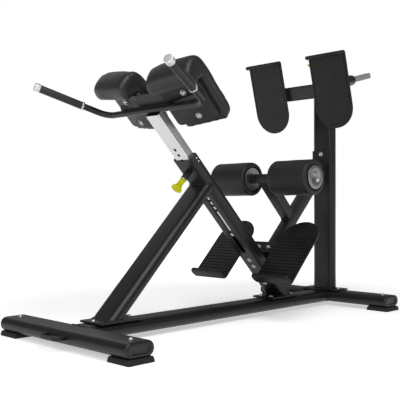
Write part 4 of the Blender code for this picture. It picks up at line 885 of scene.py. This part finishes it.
def pull_pin(prefix, seat, outward, low, tip):
    """Barrel, collar, plunger and knob of one pull-pin, turned about its own line.

    low and tip are where the barrel and the plunger start, as heights over the seat.
    """
    local = axes(seat, outward)
    shoulder = low + 0.041
    base = shoulder + 0.0041
    barrel = eased([(0.0056, low), (0.0127, low), (0.0127, shoulder), (0.0056, shoulder)],
                   {1: 0.0006, 2: 0.0014})
    piece(f"{prefix}_barrel_steel", solid([turned(barrel, local)], closed=True), powder_coat,
          "frame", [f"{prefix}_pin_barrel"])
    collar = eased([(0.0056, shoulder + 0.0001), (0.0115, shoulder + 0.0001),
                    (0.0115, shoulder + 0.0034), (0.0056, shoulder + 0.0034)], {2: 0.001})
    piece(f"{prefix}_collar", solid([turned(collar, local)], closed=True), chrome,
          "frame")
    grip = np.array(((0.0050, 0.0), (0.0104, 0.0), (0.0111, 0.0008), (0.0111, 0.0125),
                     (0.0112, 0.0208), (0.0117, 0.0255), (0.0123, 0.0296), (0.0134, 0.0338),
                     (0.0150, 0.0376), (0.0173, 0.0413), (0.0199, 0.0445), (0.0215, 0.0465),
                     (0.0221, 0.0482), (0.0220, 0.0498), (0.0213, 0.0506), (0.0199, 0.0510),
                     (0.0130, 0.0506), (0.0, 0.0505)))
    grip[:, 1] += base
    piece(f"{prefix}_knob", solid([turned(np.vstack([[(0.0, base)], grip]), local, 72)]), lime,
          f"{prefix}_pull_pin", [f"{prefix}_pin_knob"], smooth=50)
    shank = eased([(0.0, tip), (0.0050, tip), (0.0050, base + 0.001), (0.0, base + 0.001)],
                  {1: 0.0008})
    piece(f"{prefix}_plunger", solid([turned(shank, local, 32)]), zinc,
          f"{prefix}_pull_pin")


pull_pin("lower", placed((-0.025, 0, PIN), column), -RISE, low=0.0003, tip=-0.0043)
pull_pin("upper", SLIDE + ALONG * UPPER_PIN + OVER * 0.02647, OVER, low=0.0013, tip=-0.01067)

# The fasteners: bright button-head screws with a hexagon socket, each on its own seat.


def screw(seat, outward, radius=0.0085, tall=0.0052):
    """Rings of a button head: a circular dome whose inner rings turn into a hexagon."""
    angle = np.linspace(0, 2 * np.pi, 48, endpoint=False)
    unit = circle(1.0, 48)
    flat = (angle + np.pi / 6) % (np.pi / 3) - np.pi / 6
    hexagon = unit * (radius * 0.47 / np.cos(flat))[:, None]
    rings = [lifted(unit * radius * share, tall * level) for share, level in
             ((1.0, 0.0), (1.0, 0.10), (0.97, 0.30), (0.91, 0.55), (0.83, 0.76), (0.74, 0.91),
              (0.66, 0.98))]
    rings += [lifted(hexagon * grow, tall * level) for grow, level in
              ((1.06, 1.0), (1.0, 0.96), (0.97, 0.15), (0.5, 0.10))]
    return placed(rings, axes(seat, outward))


def fastened(seat, outward, radius=0.0085, tall=0.0052):
    """A thin flat washer on the seat, and a screw's head on the washer."""
    rim = radius * 1.25
    washer = eased([(0.0, 0.0), (rim, 0.0), (rim, 0.0014), (0.0, 0.0014)], {2: 0.0005})
    return [turned(washer, axes(seat, outward), 40),
            screw(seat + outward * 0.0013, outward, radius, tall)]


PLATE_TOP = 0.0757
spots = [(x, side * 0.3135, 0.068) for x in (0, REAR) for side in (-1, 1)]
spots += [(0.095, 0, PLATE_TOP), (0.250, 0, PLATE_TOP)]
spots += [(x, side * y, PLATE_TOP) for x, y in ((1.035, 0.028), (1.172, 0.028), (REAR, 0.075))
          for side in (-1, 1)]
seats = [(at(*spot), np.array((0.0, 0.0, 1.0))) for spot in spots]
seats += [(placed((-0.025, 0, q), column), -RISE) for q in (-0.482, -0.523, -0.634)]
seats += [(at(1.4523, 0, z), np.array((-1.0, 0, 0))) for z in (0.600, 0.722)]
seats += [(lower_face + np.array((0, y, 0)), CLIMB) for y in (-0.026, 0.026)]
heads = []
for seat, outward in seats:
    heads += fastened(seat, outward)
for q in (0.066, 0.082):
    heads.append(screw(placed((0.002, -0.0575, q), column), np.array((0.0, -1.0, 0)),
                       0.0045, 0.0026))
piece("frame_screws", solid(heads), zinc, "frame", smooth=35)

# The hip pads: black vinyl over firm foam, each on a painted board held by two screws. The
# cushions carry the solids' shape, and their foam swells the cover, which the boards hold back.
vinyl = finish("black_vinyl", ((0.0085, 0.0085, 0.009), (0.0125, 0.0125, 0.013)), (0.36, 0.46),
               ("cells", 850.0, 0.00035, 0.32), ("noise", 35.0, 0.0015, 0.10), drift=8.0,
               Sheen_Weight=0.04)
board_paint = finish("board_black", ((0.012, 0.012, 0.012), (0.018, 0.018, 0.018)), (0.46, 0.58),
                     ("noise", 400.0, 0.0004, 0.2), drift=18.0)
board_screws = []
PAD_ROLL = math.radians(9.5)


def vectors(mesh, what):
    """What a mesh holds for each vertex as a vector: co or normal."""
    values = np.zeros(len(mesh.vertices) * 3, np.float32)
    mesh.vertices.foreach_get(what, values)
    return values.reshape(-1, 3)


for hand, side in HANDS:
    lean = -side * PAD_ROLL
    pad_local = np.array([(0.0389, side * 0.161, 0), (math.cos(lean), math.sin(lean), 0),
                          (-math.sin(lean), math.cos(lean), 0), (0, 0, 1)])
    pad_axes = np.vstack([placed(pad_local[0], column), pad_local[1:] @ column[1:]])
    board = axes(placed((0.0003, -side * 0.015, 0.309), pad_axes), pad_axes[1],
                 pad_axes[2])
    piece(f"{hand}_back_board", solid([bar(oblong(0.166, 0.188, 0.016, 6), board, 0.0154,
                                           ease=0.0012)]),
          board_paint, "pad_carriage", [f"{hand}_pad_board"])
    cushion = dressed(f"{hand}_vinyl_pad", nodes[f"{hand}_hip_pad"].data.copy(), vinyl,
                      "pad_carriage", [f"{hand}_hip_pad"], smooth=180)
    remesh = cushion.modifiers.new("voxels", "REMESH")
    remesh.mode, remesh.voxel_size, remesh.use_smooth_shade = "VOXEL", 0.0045, True
    bpy.context.view_layer.update()
    cushion.data = shown(cushion)
    cushion.modifiers.clear()
    rest = vectors(cushion.data, "co")
    local_rest = (rest - pad_axes[0]) @ pad_axes[1:].T
    backed = local_rest[:, 0] < 0.024
    start = rest - vectors(cushion.data, "normal") * np.where(backed, 0.0, 0.0035)[:, None]
    cushion.data.vertices.foreach_set("co", start.astype(np.float32).ravel())
    held = cushion.vertex_groups.new(name="held")
    weight = np.clip((0.034 - local_rest[:, 0]) / 0.010, 0, 1)
    for index in np.nonzero(weight > 0)[0]:
        held.add([int(index)], float(weight[index]), "REPLACE")
    cover = cushion.modifiers.new("cover", "CLOTH")
    cover.settings.vertex_group_mass = "held"
    cover.settings.use_pressure = True
    cover.settings.uniform_pressure_force = 4.0
    cover.settings.mass = 0.4
    cover.settings.effector_weights.gravity = 0.0
    scene.frame_start, scene.frame_end = 1, 20
    for step in range(1, 21):
        scene.frame_set(step)
    swollen = shown(cushion)
    shift = vectors(swollen, "co") - start
    reach = np.linalg.norm(shift, axis=1, keepdims=True)
    final = start + shift * np.minimum(1.0, 0.0050 / np.maximum(reach, 1e-6))
    cushion.modifiers.clear()
    cushion.vertex_groups.clear()
    bpy.data.meshes.remove(swollen)
    scene.frame_set(1)
    cushion.data.vertices.foreach_set("co", final.astype(np.float32).ravel())
    cushion.data.materials.clear()
    cushion.data.materials.append(vinyl)
    cushion.data.shade_smooth()
    finer = cushion.modifiers.new("finer", "SUBSURF")
    finer.levels = finer.render_levels = 1
    for q, back in ((0.250, 0.0003), (0.359, -0.0053)):
        board_screws += fastened(placed((back, 0, q), pad_axes), -pad_axes[1], 0.0100, 0.0055)
piece("pad_board_screws", solid(board_screws), zinc, "pad_carriage", smooth=35)
